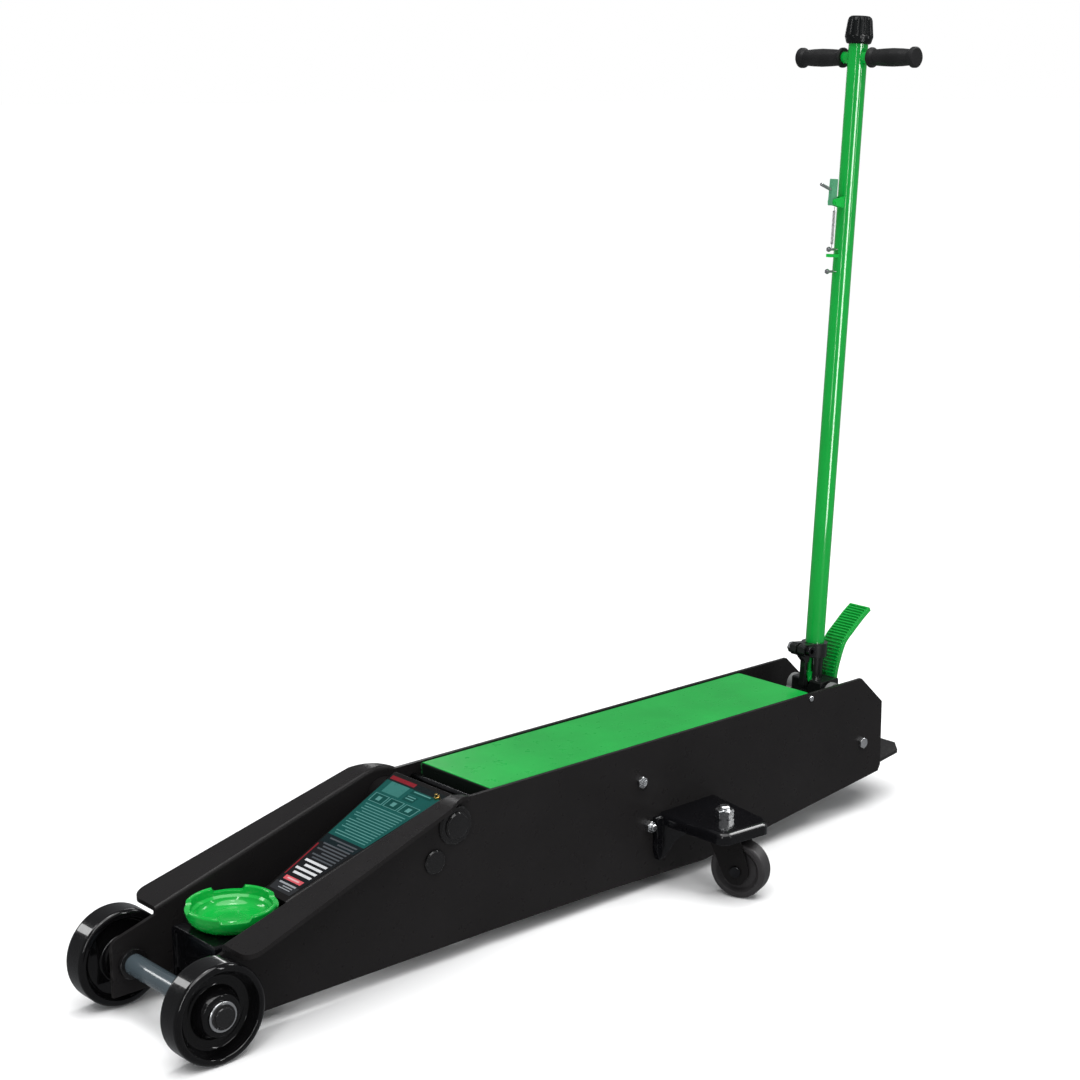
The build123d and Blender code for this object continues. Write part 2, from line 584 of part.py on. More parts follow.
with BuildPart() as unit_front_support:
    with BuildSketch(Plane.YZ.offset(X0 + 742)) as us:
        with BuildLine():
            Polyline((-HALF_IN, 80), (-44, 58), (44, 58), (HALF_IN, 80), (HALF_IN, 186), (50, 186), (38, 134),
                     (-38, 134), (-50, 186), (-HALF_IN, 186), close=True)
        make_face()
        with Locations((0, RAM_Z)):
            Circle(31, mode=Mode.SUBTRACT)
    extrude(amount=38)
    with BuildSketch(Plane.XZ):
        for bx, bz, br in BOLTS[:2]:
            with Locations((bx, bz)):
                Circle(br)
    extrude(amount=90, both=True, mode=Mode.SUBTRACT)
save(unit_front_support, "unit_front_support")

with BuildPart() as reservoir:
    with BuildSketch(Plane.YZ.offset(RES_X0)):
        with Locations((0, RAM_Z)):
            Circle(58)
            Circle(31, mode=Mode.SUBTRACT)
    extrude(amount=RES_X1 - RES_X0)
    with BuildSketch(Plane.YZ.offset(RES_X0 + 6)):
        with Locations((0, RAM_Z)):
            Circle(54)
            Circle(31, mode=Mode.SUBTRACT)
    extrude(amount=RES_X1 - RES_X0 - 6, mode=Mode.SUBTRACT)
    fillet(reservoir.edges().filter_by(lambda e: e.geom_type == GeomType.CIRCLE and abs(e.radius - 58) < 0.1 and e.center().X < RES_X0 + 1), 5)
    with BuildSketch(Plane.XY.offset(RAM_Z)):
        with Locations((X0 + 900, 0)):
            Circle(7.5)
    extrude(amount=70, mode=Mode.SUBTRACT)
save(reservoir, "reservoir")

with BuildPart() as filler_plug:
    with BuildSketch(Plane.XY.offset(RAM_Z + 50)):
        with Locations((X0 + 900, 0)):
            Circle(7.5)
    extrude(amount=9)
    with BuildSketch(Plane.XY.offset(RAM_Z + 58.5)):
        with Locations((X0 + 900, 0)):
            Circle(12.5)
    extrude(amount=5)
    chamfer(filler_plug.edges().sort_by(Axis.Z)[-1:], 1.5)

PB0, PB1 = RES_X1, X0 + 1200
PLUNGER_R = 9.0
NOSE_DROP, NOSE_R = 36.0, 9.0
PL_Z = SOCK_Z - NOSE_DROP
with BuildPart() as pump_block:
    with BuildSketch(Plane.YZ.offset(PB0)) as pb:
        with Locations((0, 100)):
            Rectangle(124, 88)
        fillet(pb.vertices(), 9)
    extrude(amount=PB1 - PB0)
    # base under the handle socket, with its two ears
    with BuildSketch(Plane.XZ) as ear:
        with BuildLine():
            Polyline((PB1 - 6, 66), (PB1 + 40, 66), (PB1 + 48, 84), (SOCK_X + 16, SOCK_Z), (SOCK_X, SOCK_Z + 17.5), (SOCK_X - 16, SOCK_Z),
                     (PB1 - 34, 141), (PB1 - 6, 120), close=True)
        make_face()
        with Locations((SOCK_X, SOCK_Z)):
            Circle(17)
            Circle(10, mode=Mode.SUBTRACT)
    extrude(amount=44, both=True)
    with BuildSketch(Plane.XZ):
        with Locations((SOCK_X, 136.5 + 60)):
            Rectangle(120, 120)
    extrude(amount=34, both=True, mode=Mode.SUBTRACT)
    # boss for the pump piston
    with BuildSketch(Plane.YZ.offset(PB0 + 34)):
        with Locations((0, PL_Z)):
            Circle(17)
        with Locations((0, PL_Z - 10)):
            Rectangle(34, 20)
    extrude(amount=81)
    with BuildSketch(Plane.YZ.offset(PB0 + 39)):
        with Locations((0, PL_Z)):
            Circle(PLUNGER_R + FIT)
    extrude(amount=96, mode=Mode.SUBTRACT)
    # boss of the release valve
    with BuildSketch(Plane.XY.offset(120)):
        with Locations((PB1 - 14, 23)):
            Circle(11)
    extrude(amount=38)
    with BuildSketch(Plane.XY.offset(125)):
        with Locations((PB1 - 14, 23)):
            Circle(5.5 + FIT)
    extrude(amount=60, mode=Mode.SUBTRACT)
    # seats of the two valve plugs
    for vx in (PB0 + 30, PB0 + 75):
        with BuildSketch(Plane.XZ.offset(50)):
            with Locations((vx, 98)):
                Circle(9)
        extrude(amount=20, mode=Mode.SUBTRACT)
save(pump_block, "pump_block")

with BuildPart() as unit_plugs:
    add(filler_plug.part)
    for vx in (PB0 + 30, PB0 + 75):
        with BuildSketch(Plane.XZ.offset(50)):
            with Locations((vx, 98)):
                Circle(9)
        extrude(amount=12)
        with BuildSketch(Plane.XZ.offset(62)):
            with Locations((vx, 98)):
                RegularPolygon(11, 6)
        extrude(amount=7)
save(unit_plugs, "unit_plugs")

with BuildPart() as socket_pivot_pin:
    with BuildSketch(Plane.XZ):
        with Locations((SOCK_X, SOCK_Z)):
            Circle(10)
    extrude(amount=48, both=True)
    for side in (-1, 1):
        with BuildSketch(Plane.XZ.offset(side * 44.3)):
            with Locations((SOCK_X, SOCK_Z)):
                Circle(13.5)
        extrude(amount=side * 2)
save(socket_pivot_pin, "socket_pivot_pin")

# pump piston, moved by the nose under the handle socket
PL_TIP = SOCK_X - NOSE_R - 0.45
with BuildPart() as pump_plunger:
    with BuildSketch(Plane.YZ.offset(PL_TIP - 84)):
        with Locations((0, PL_Z)):
            Circle(PLUNGER_R)
    extrude(amount=84)
    chamfer(pump_plunger.edges().filter_by(GeomType.CIRCLE), 1.2)
save(pump_plunger, "pump_plunger")

# release valve spindle
with BuildPart() as release_valve:
    with BuildSketch(Plane.XY.offset(130)):
        with Locations((PB1 - 14, 23)):
            Circle(5.5)
    extrude(amount=46)
    with BuildSketch(Plane.XY.offset(170)):
        with Locations((PB1 - 14, 23)):
            Circle(8)
    extrude(amount=18)
    with BuildSketch(Plane.XY.offset(178)):
        with Locations((PB1 - 14, 23)):
            Rectangle(30, 6)
    extrude(amount=12, mode=Mode.SUBTRACT)
save(release_valve, "release_valve")

# ------------------------------------------------------------------ rear cover, stay, screws, bolts
COV0, COV1 = X0 + 474.0, X0 + 1126.0
COV_W, COV_TOP, COV_T = 76.4, 225.0, 3.0
with BuildPart() as rear_cover:
    with BuildSketch(Plane.XY.offset(COV_TOP - 20)):
        with Locations(((COV0 + COV1) / 2, 0)):
            Rectangle(COV1 - COV0, 2 * COV_W)
    extrude(amount=20)
    fillet(rear_cover.edges().filter_by(Axis.Z).group_by(Axis.X)[-1], 8)
    fillet(rear_cover.faces().sort_by(Axis.Z)[-1].edges(), 3.5)
    with BuildSketch(Plane.XY.offset(COV_TOP - 25)):
        with Locations(((COV0 + COV1) / 2, 0)):
            Rectangle(COV1 - COV0 - 2 * COV_T, 2 * (COV_W - COV_T))
    extrude(amount=25 - COV_T, mode=Mode.SUBTRACT)
    with BuildSketch(Plane.XZ):
        with Locations(SCREW[:2]):
            Circle(SCREW[2])
    extrude(amount=90, both=True, mode=Mode.SUBTRACT)
save(rear_cover, "rear_cover")

with BuildPart() as cover_screws:
    for side in (-1, 1):
        with BuildSketch(Plane.XZ.offset(side * 70)):
            with Locations(SCREW[:2]):
                Circle(SCREW[2])
        extrude(amount=side * (HALF_OUT - 70))
        with BuildSketch(Plane.XZ.offset(side * HALF_OUT)):
            with Locations(SCREW[:2]):
                Circle(4.4)
        extrude(amount=side * 3.0)
    fillet(cover_screws.edges().filter_by(lambda e: abs(e.center().Y) > HALF_OUT + 2.8), 1.6)
save(cover_screws, "cover_screws")

with BuildPart() as chassis_bolts:
    for bx, bz, br in BOLTS:
        for side in (-1, 1):
            nut = bz < 110
            hex_r = 9.2 if bx > X0 + 1200 else br * 1.8
            with BuildSketch(Plane.XZ.offset(side * 60)):
                with Locations((bx, bz)):
                    Circle(br)
            extrude(amount=side * ((HALF_OUT + 14 if nut else HALF_OUT) - 60))
            with BuildSketch(Plane.XZ.offset(side * HALF_OUT)):
                with Locations((bx, bz)):
                    RegularPolygon(hex_r, 6, rotation=30)
            extrude(amount=side * (8 if nut else 5))
    # rounded shoulders of the hexagons, and bevelled bolt ends
    chamfer(chassis_bolts.edges().filter_by(lambda e: e.geom_type == GeomType.CIRCLE and abs(e.center().Y) > HALF_OUT + 12), 1.0)
    for bx, bz, br in BOLTS:
        for side in (-1, 1):
            nut = bz < 110
            hex_r = 9.2 if bx > X0 + 1200 else br * 1.8
            h = 8 if nut else 5
            y1 = -side * (HALF_OUT + h)
            with BuildSketch(radial(bx, bz)):
                with BuildLine():
                    Polyline((y1, hex_r * 0.866), (y1, hex_r + 3), (y1 + side * (hex_r * 0.134 + 3) * 0.55, hex_r + 3), close=True)
                make_face()
            revolve(axis=Axis((bx, 0, bz), (0, 1, 0)), mode=Mode.SUBTRACT)
save(chassis_bolts, "chassis_bolts")

# ------------------------------------------------------------------ rear plate
# lies just inside the lower edges of the side plates and runs on behind them, rising to the rear
RK = 0.14              # rise of the rear plate per mm of length
RP_T = 6.0


def rp(x, up=0.0):
    """Point on the top face of the rear plate at x, or above it."""
    return (x, 82.6 - RK * (X0 + 1371 - x) + up)


with BuildPart() as rear_plate:
    with BuildSketch(Plane.XZ):
        with BuildLine():
            Polyline(rp(X0 + 1236), rp(X0 + 1371), rp(X0 + 1371, -RP_T), rp(X0 + 1236, -RP_T), close=True)
        make_face()
    extrude(amount=HALF_IN, both=True)
    # two upright lugs that take the rear bolts
    with BuildSketch(Plane.XZ):
        with BuildLine():
            Polyline(rp(X0 + 1236, -1), rp(X0 + 1286, -1), (X0 + 1262, 132), (X0 + 1230, 132), close=True)
        make_face()
        with Locations((BOLTS[2][0], BOLTS[2][1])):
            Circle(BOLTS[2][2], mode=Mode.SUBTRACT)
    extrude(amount=HALF_IN, both=True)
    with BuildSketch(Plane.XZ):
        with BuildLine():
            Polyline(rp(X0 + 1200), rp(X0 + 1300), (X0 + 1300, 160), (X0 + 1200, 160), close=True)
        make_face()
    extrude(amount=HALF_IN - 6, both=True, mode=Mode.SUBTRACT)
    with BuildSketch(Plane.XY):
        with BuildLine():
            Polyline((X0 + 1200, -HALF_IN), (X0 + 1288, -HALF_IN), (X0 + 1294, -70), (X0 + 1352, -70), (X0 + 1371, -49), (X0 + 1371, 49),
                     (X0 + 1352, 70), (X0 + 1294, 70), (X0 + 1288, HALF_IN), (X0 + 1200, HALF_IN), close=True)
        make_face()
    extrude(amount=200, mode=Mode.INTERSECT)
save(rear_plate, "rear_plate")

# ------------------------------------------------------------------ handle
# axis of the handle tube: leans back by LEAN degrees and passes just in front of the socket pivot
cl, sl = cos(radians(LEAN)), sin(radians(LEAN))
HX, HZ = X0 + 1215.2, SOCK_Z
HSIDE = Plane(origin=(HX, 0, HZ), x_dir=(cl, 0, -sl), z_dir=(0, -1, 0))   # local x: rearward, local y: up the handle
COLLAR0, COLLAR1 = 56.0, 78.5        # clamp collar, along the handle
CLAMP_S = 69.5                       # clamp bolt
TUBE0, TUBE1 = 59.0, 1015.5
BAR_S = 995.5                        # T-bar
KNOB0 = 1015.9
FLUTE_TURN = 5.0                     # first flute of the release knob, degrees from the rearward side


def hcross(s, dx=0.0, dy=0.0):
    """Plane square to the handle at a distance s up it; local x is rearward, local y is +Y."""
    return Plane(origin=(HX + s * sl + dx * cl, dy, HZ + s * cl - dx * sl), x_dir=(cl, 0, -sl), z_dir=(sl, 0, cl))


# release rod: runs down inside the tube from the knob and leaves it in front of the socket's post
ROD_DX = -8.8
RB = (HX + 28 * sl + ROD_DX * cl, HZ + 28 * cl - ROD_DX * sl)
RT = (HX + KNOB0 * sl, HZ + KNOB0 * cl)
rod_len = hypot(RT[0] - RB[0], RT[1] - RB[1])
rsn, rcs = (RT[0] - RB[0]) / rod_len, (RT[1] - RB[1]) / rod_len
ROD_R = 3.3


def rod_plane(s):
    """Plane square to the release rod at a distance s above its lower end."""
    return Plane(origin=(RB[0] + s * rsn, 0, RB[1] + s * rcs), x_dir=(rcs, 0, -rsn), z_dir=(rsn, 0, rcs))


with BuildPart() as handle_socket:
    # yoke around the pivot pin
    with BuildSketch(Plane.XZ) as yk:
        with BuildLine():
            Polyline((SOCK_X - 20, SOCK_Z + 19), (SOCK_X + 24, SOCK_Z + 19), (SOCK_X + 24, SOCK_Z - 4), (SOCK_X + 14, SOCK_Z - 17),
                     (SOCK_X - 14, SOCK_Z - 15), (SOCK_X - 20, SOCK_Z - 4), close=True)
        make_face()
        fillet(yk.vertices().group_by(Axis.Y)[-1], 3)
    extrude(amount=30, both=True)
    # nose that pushes the pump piston
    with BuildSketch(Plane.XZ):
        with BuildLine():
            Polyline((SOCK_X - NOSE_R, SOCK_Z - NOSE_DROP), (SOCK_X - 8.6, SOCK_Z - 10), (SOCK_X + 15, SOCK_Z - 10),
                     (SOCK_X + NOSE_R, SOCK_Z - NOSE_DROP), close=True)
        make_face()
        with Locations((SOCK_X, SOCK_Z - NOSE_DROP)):
            Circle(NOSE_R)
    extrude(amount=12, both=True)
    # post behind the release rod
    with BuildSketch(hcross(14)):
        with Locations((3.5, 0)):
            Circle(13.8)
    extrude(amount=COLLAR1 - 14)
    # front strut, with the window for the rod between it and the post
    with BuildSketch(HSIDE):
        with BuildLine():
            Polyline((-26, 10), (-15, 10), (-15, 17), (-21.5, 23), (-21.5, 45), (-16, 50.5), (-5, 53), (-5, COLLAR1 - 2), (-21, COLLAR1 - 2),
                     (-26, COLLAR1 - 5), (-40, COLLAR1 - 8), (-40, 63), (-26, 49), close=True)
        make_face()
    extrude(amount=5, both=True)
    # clamp collar with its two ears
    with BuildSketch(hcross(COLLAR0)) as cc:
        Circle(21)
    extrude(amount=COLLAR1 - COLLAR0)
    with BuildSketch(HSIDE) as er:
        with BuildLine():
            Polyline((-10, COLLAR0 + 1), (-38, CLAMP_S - 9.5), (-43, CLAMP_S - 4), (-43, CLAMP_S + 6), (-36, CLAMP_S + 10), (-10, COLLAR1 - 1), close=True)
        make_face()
        fillet(er.vertices().group_by(Axis.X)[0], 3)
    extrude(amount=15, both=True)
    # bore for the tube and slit of the clamp
    with BuildSketch(hcross(TUBE0)):
        Circle(TUBE_R)
    extrude(amount=60, mode=Mode.SUBTRACT)
    with BuildSketch(HSIDE):
        Polygon((-60, TUBE0 + 0.01), (0, TUBE0 + 0.01), (0, 110), (-60, 110), align=None)
    extrude(amount=2, both=True, mode=Mode.SUBTRACT)
    # passage of the release rod
    with BuildSketch(hcross(10, ROD_DX)):
        SlotOverall(19, 13.4)
    extrude(amount=60, mode=Mode.SUBTRACT)
    # pivot bore and clamp bolt hole
    with BuildSketch(Plane.XZ):
        with Locations((SOCK_X, SOCK_Z)):
            Circle(10 + FIT)
    extrude(amount=60, both=True, mode=Mode.SUBTRACT)
    with BuildSketch(HSIDE):
        with Locations((-32, CLAMP_S)):
            Circle(5)
    extrude(amount=60, both=True, mode=Mode.SUBTRACT)
save(handle_socket, "handle_socket")

with BuildPart() as clamp_bolt:
    with BuildSketch(HSIDE):
        with Locations((-32, CLAMP_S)):
            Circle(5)
    extrude(amount=23, both=True)
    with BuildSketch(HSIDE.offset(15)):
        with Locations((-32, CLAMP_S)):
            Circle(8)
            RegularPolygon(3.6, 6, major_radius=False, mode=Mode.SUBTRACT)
    extrude(amount=8)
    with BuildSketch(HSIDE.offset(15)):
        with Locations((-32, CLAMP_S)):
            Circle(8)
    extrude(amount=3.5)
    with BuildSketch(HSIDE.offset(23)):
        with Locations((-32, CLAMP_S)):
            RegularPolygon(3.6, 6, major_radius=False)
    extrude(amount=-4.5, mode=Mode.SUBTRACT)
    with BuildSketch(HSIDE.offset(-15)):
        with Locations((-32, CLAMP_S)):
            RegularPolygon(8.0, 6, major_radius=False)
    extrude(amount=-7)
    fillet(clamp_bolt.edges().filter_by(lambda e: e.geom_type == GeomType.CIRCLE and abs(e.radius - 8) < 0.05 and e.center().Y < -22), 1.2)

with BuildPart() as handle_tube:
    with BuildSketch(hcross(TUBE0)):
        Circle(TUBE_R)
        Circle(TUBE_R - 2.5, mode=Mode.SUBTRACT)
    extrude(amount=TUBE1 - TUBE0)
save(handle_tube, "handle_tube")

with BuildPart() as t_bar:
    with BuildSketch(HSIDE):
        with Locations((0, BAR_S)):
            Circle(9)
    extrude(amount=112, both=True)
    with BuildSketch(hcross(BAR_S - 30)):
        Circle(TUBE_R)
    extrude(amount=60, mode=Mode.SUBTRACT)
save(t_bar, "t_bar")

GR0, GR1 = 26.0, 114.5
with BuildPart() as left_grip:
    with BuildSketch(Plane(origin=(HX + BAR_S * sl, 0, HZ + BAR_S * cl), x_dir=(0, -1, 0), z_dir=(-cl, 0, sl))) as gp:
        with BuildLine():
            Polyline((GR0, 9), (GR0, 14), (GR0 + 1.5, 15.3), (GR0 + 4, 15.3), (GR0 + 6, 13.4), (GR0 + 10, 12.2), (GR0 + 26, 13.2),
                     (GR0 + 44, 13.8), (GR0 + 62, 13.2), (GR1 - 12, 12.0), (GR1 - 8, 13), (GR1 - 6, 15.6), (GR1 - 1.5, 15.6), (GR1 + 0.5, 13.5), (GR1 + 0.5, 0),
                     (112, 0), (112, 9), close=True)
        make_face()
    revolve(axis=Axis((HX + BAR_S * sl, 0, HZ + BAR_S * cl), (0, 1, 0)))
save(left_grip, "left_grip")

with BuildPart() as right_grip:
    mirror(left_grip.part, about=Plane.XZ)
save(right_grip, "right_grip")

with BuildPart() as handle_studs:
    # two threaded studs with nuts, and a plain lug between them
    for st in (703.5, 669.5):
        with BuildSketch(hcross(st, -TUBE_R + 1.0).rotated((0, -90, 0))):
            Circle(1.9)
        extrude(amount=23.5)
        with BuildSketch(hcross(st, -33.2).rotated((0, -90, 0))):
            RegularPolygon(3.5, 6, major_radius=False)
        extrude(amount=3.2)
    with BuildSketch(hcross(694.0, -TUBE_R + 1.0).rotated((0, -90, 0))):
        Rectangle(5.0, 7.0)
    extrude(amount=22)
    with BuildSketch(hcross(0)):
        Circle(TUBE_R)
    extrude(amount=1010, mode=Mode.SUBTRACT)

# lock lever on the front of the tube, with its pivot ears, rivet and spring
LV = (-33.5, 776.0)              # pivot: rearward coordinate and height up the handle
with BuildPart() as tube_lugs:
    add(handle_studs.part)
    with BuildSketch(HSIDE) as le:
        with BuildLine():
            Polyline((-10, LV[1] - 9), (LV[0], LV[1] - 4.5), (LV[0], LV[1] + 4.5), (-10, LV[1] + 10), close=True)
        make_face()
        with Locations(LV):
            Circle(4.5)
    extrude(amount=6.4, both=True)
    with BuildSketch(HSIDE):
        with Locations((-30, LV[1])):
            Rectangle(29.4, 44)
    extrude(amount=3.4, both=True, mode=Mode.SUBTRACT)
    with BuildSketch(HSIDE):
        with Locations(LV):
            Circle(2.1)
    extrude(amount=7.6, both=True)
    with BuildSketch(hcross(700)):
        Circle(TUBE_R)
    extrude(amount=140, mode=Mode.SUBTRACT)
save(tube_lugs, "tube_lugs")

with BuildPart() as lock_lever:
    with BuildSketch(HSIDE) as ll:
        with BuildLine():
            Polyline((-41.5, LV[1] - 5.5), (-28.0, LV[1] - 5.5), (-27.8, LV[1] + 35), (-40.2, LV[1] + 35), close=True)
        make_face()
        fillet(ll.vertices(), 1.2)
        with Locations(LV):
            Circle(2.15, mode=Mode.SUBTRACT)
    extrude(amount=3, both=True)
    with BuildSketch(Plane(origin=(HX + 794 * sl - 38.5 * cl, 0, HZ + 794 * cl + 38.5 * sl), x_dir=(0, 1, 0), z_dir=(-cos(radians(22)), 0, sin(radians(22))))):
        Circle(2.5)
    extrude(amount=26.5)
    fillet(lock_lever.edges().filter_by(lambda e: e.geom_type == GeomType.CIRCLE and abs(e.radius - 2.5) < 0.05).sort_by(Axis.X)[:1], 0.8)
save(lock_lever, "lock_lever")

# spring from the foot of the lever down to the upper stud
LS_X = -28.5
lever_coil = coil(hcross(711.5, LS_X).origin, (sl, 0, cl), 51, 1.9, 0.45, 26)
with BuildPart() as lever_spring:
    add(lever_coil)
    with BuildSketch(hcross(705.7, LS_X)):
        Circle(0.5)
    extrude(amount=8)
    with BuildSketch(hcross(760.5, LS_X)):
        Circle(0.5)
    extrude(amount=8)
    for st in (712.4, 761.8):
        with BuildSketch(hcross(st, LS_X)):
            Rectangle(4.4, 0.9)
        extrude(amount=0.9)
save(lever_spring, "lever_spring")

# foot pedal: curved, ribbed on its upper side, bolted to the rear of the yoke
PED = [(X0 + 1246.4, 186.0), (X0 + 1246.6, 201.0), (X0 + 1251.5, 231.4), (X0 + 1258.9, 250.4), (X0 + 1268.3, 269.1), (X0 + 1287.9, 285.8), (X0 + 1307.5, 300.5), (X0 + 1330.7, 315.0)]
PED_W = 20.5
front = Spline(*PED[1:])
rear_pts = []
for i in range(9):
    q, dq = front @ (i / 8), front % (i / 8)
    rear_pts.append(Vector(q.X + 7.0 * dq.Y, q.Y - 7.0 * dq.X))
with BuildPart() as foot_pedal:
    with BuildSketch(Plane.XZ):
        with BuildLine():
            Spline(*PED[1:])
            Line(PED[-1], (rear_pts[-1].X, rear_pts[-1].Y))
            Spline(*[(q.X, q.Y) for q in reversed(rear_pts)])
            Polyline((rear_pts[0].X, rear_pts[0].Y), (PED[0][0] + 7, PED[0][1]), PED[0], PED[1])
        make_face()
    extrude(amount=PED_W, both=True)
    for i in range(24):
        t = 0.125 + 0.85 * i / 23
        q, dq = front @ t, front % t
        ang = degrees(atan2(dq.Y, dq.X))
        with BuildSketch(Plane(origin=(q.X, 0, q.Y), x_dir=(dq.X, 0, dq.Y), z_dir=(0, -1, 0))):
            Polygon((-1.9, -1.0), (1.9, -1.0), (1.1, 2.6), (-1.1, 2.6), align=None)
        extrude(amount=PED_W - 3.0, both=True)
save(foot_pedal, "foot_pedal")

with BuildPart() as socket_bolts:
    add(clamp_bolt.part)
    for by in (-11, 11):
        with BuildSketch(Plane.YZ.offset(SOCK_X + 31.7)):
            with Locations((by, 197)):
                RegularPolygon(6.5, 6, major_radius=False)
        extrude(amount=5)
save(socket_bolts, "socket_bolts")

# release knob, fluted, on its rod
KS = rod_len
with BuildPart() as release_rod:
    with BuildSketch(rod_plane(0)):
        Circle(ROD_R)
    extrude(amount=KS + 22)
    with BuildSketch(rod_plane(-13)):
        Circle(6.0)
    extrude(amount=16)
    with BuildSketch(rod_plane(-14)):
        Rectangle(14, 4.5)
    extrude(amount=10, mode=Mode.SUBTRACT)
save(release_rod, "release_rod")

with BuildPart() as release_knob:
    with BuildSketch(Plane(origin=(RT[0], 0, RT[1]), x_dir=(rcs, 0, -rsn), z_dir=(0, -1, 0))):
        with BuildLine():
            Polyline((0, 0.3), (17.6, 0.3), (19.2, 1.8), (21.7, 10.5), (21.5, 13.5), (18.9, 35), (17.3, 39), (14.5, 41.2), (0, 41.6), close=True)
        make_face()
    revolve(axis=Axis((RT[0], 0, RT[1]), (rsn, 0, rcs)))
    # twelve flutes that run out above the lower lip
    for k in range(12):
        a = radians(30 * k + FLUTE_TURN)
        with BuildSketch(rod_plane(KS + 12.5)):
            with Locations((23.0 * cos(a), 23.0 * sin(a))):
                Circle(3.2)
        with BuildSketch(rod_plane(KS + 42)):
            with Locations((18.8 * cos(a), 18.8 * sin(a))):
                Circle(2.7)
        loft(mode=Mode.SUBTRACT)
    # shallow notches round the lip
    for k in range(12):
        a = radians(30 * k + 15 + FLUTE_TURN)
        with BuildSketch(rod_plane(KS)):
            with Locations((24.3 * cos(a), 24.3 * sin(a))):
                Circle(3.6)
        extrude(amount=11, mode=Mode.SUBTRACT)
    with BuildSketch(rod_plane(KS - 1)):
        Circle(ROD_R)
    extrude(amount=23, mode=Mode.SUBTRACT)
save(release_knob, "release_knob")

# ------------------------------------------------------------------ rear casters
BR5 = 5.0
SHELF = [(X0 + 788, -HALF_OUT), (X0 + 788.5, -214), (X0 + 874, -220), (X0 + 889, -200), (X0 + 908, -HALF_OUT)]
with BuildPart() as left_caster_bracket:
    # pressed shelf with a rounded, turned-down rim
    with BuildSketch(Plane.XY.offset(SHELF_Z - 17)) as sh:
        with BuildLine():
            Polyline(*SHELF, close=True)
        make_face()
        fillet(sh.vertices().sort_by_distance((*SHELF[1], 0))[0], 17)
        fillet(sh.vertices().sort_by_distance((*SHELF[2], 0))[0], 14)
        fillet(sh.vertices().sort_by_distance((*SHELF[3], 0))[0], 14)
    extrude(amount=17)
    rim = left_caster_bracket.faces().sort_by(Axis.Z)[-1].edges().filter_by(lambda e: e.center().Y < -HALF_OUT - 5)
    fillet(rim, 8)
    with BuildSketch(Plane.XY.offset(SHELF_Z - 20)) as sh2:
        with BuildLine():
            Polyline((X0 + 788 + BR5, -HALF_OUT), (X0 + 788.5 + BR5, -214 + BR5), (X0 + 874 - 2.5, -220 + BR5), (X0 + 889 - 6.5, -200 + 1), (X0 + 908 - BR5, -HALF_OUT), close=True)
        make_face()
        fillet(sh2.vertices().sort_by_distance((X0 + 788.5 + BR5, -214 + BR5, 0))[0], 12)
        fillet(sh2.vertices().sort_by_distance((X0 + 874 - 2.5, -220 + BR5, 0))[0], 9)
        fillet(sh2.vertices().sort_by_distance((X0 + 889 - 6.5, -200 + 1, 0))[0], 9)
    extrude(amount=20 - BR5, mode=Mode.SUBTRACT)
    # flange welded to the side plate
    with BuildSketch(Plane.XZ.offset(HALF_OUT)) as fl:
        with BuildLine():
            Polyline((X0 + 777, SHELF_Z - 4), (X0 + 910, SHELF_Z - 4), (X0 + 907, 78), (X0 + 822, 66), (X0 + 796, 44), (X0 + 782, 44), (X0 + 776, 60), close=True)
        make_face()
        fillet(fl.vertices().group_by(Axis.Y)[0], 6)
    extrude(amount=BR5)
    # stiff front lip of the flange
    with BuildSketch(Plane.XZ.offset(HALF_OUT)) as lip:
        with BuildLine():
            Polyline((X0 + 776.8, SHELF_Z - 5), (X0 + 788, SHELF_Z - 5), (X0 + 788, 50), (X0 + 784, 44.5), (X0 + 781, 44.5), (X0 + 776.4, 58), close=True)
        make_face()
        fillet(lip.vertices().group_by(Axis.Y)[0], 1.4)
    extrude(amount=9)
    with BuildSketch(Plane.XY):
        with Locations((CAST_X, -CAST_Y)):
            Circle(8)
    extrude(amount=150, mode=Mode.SUBTRACT)
save(left_caster_bracket, "left_caster_bracket")

with BuildPart() as right_caster_bracket:
    mirror(left_caster_bracket.part, about=Plane.XZ)
save(right_caster_bracket, "right_caster_bracket")

with BuildPart() as caster_king_bolts:
    for side in (-1, 1):
        with BuildSketch(Plane.XY.offset(84)):
            with Locations((CAST_X, side * CAST_Y)):
                Circle(8)
        extrude(amount=SHELF_Z + 18.5 - 84)
        with BuildSketch(Plane.XY.offset(84 - 1.4)):
            with Locations((CAST_X, side * CAST_Y)):
                Circle(11)
        extrude(amount=5)
        with BuildSketch(Plane.XY.offset(SHELF_Z)):
            with Locations((CAST_X, side * CAST_Y)):
                RegularPolygon(12, 6, major_radius=False, rotation=12)
        extrude(amount=13)
        with BuildSketch(Plane(origin=(CAST_X, side * CAST_Y, 0), x_dir=(1, 0, 0), z_dir=(0, -1, 0))):
            Polygon((12.0, SHELF_Z + 13), (17, SHELF_Z + 13), (17, SHELF_Z + 10), align=None)
            Polygon((12.0, SHELF_Z), (17, SHELF_Z + 3), (17, SHELF_Z), align=None)
        revolve(axis=Axis((CAST_X, side * CAST_Y, 0), (0, 0, 1)), mode=Mode.SUBTRACT)
    chamfer(caster_king_bolts.edges().filter_by(lambda e: e.center().Z > SHELF_Z + 18), 1.8)
save(caster_king_bolts, "caster_king_bolts")

CW_HALF = 14.5
tc, ts = cos(radians(CAST_TURN)), sin(radians(CAST_TURN))
WX, WY = CAST_X + CAST_TRAIL * ts, CAST_Y + CAST_TRAIL * tc      # wheel centre; the left one is at -WY


def fork_plane(z):
    """Level plane at height z on the left king bolt; local x runs along the wheel's axle, local -y trails."""
    return Plane(origin=(CAST_X, -CAST_Y, z), x_dir=(tc, ts, 0), z_dir=(0, 0, 1))


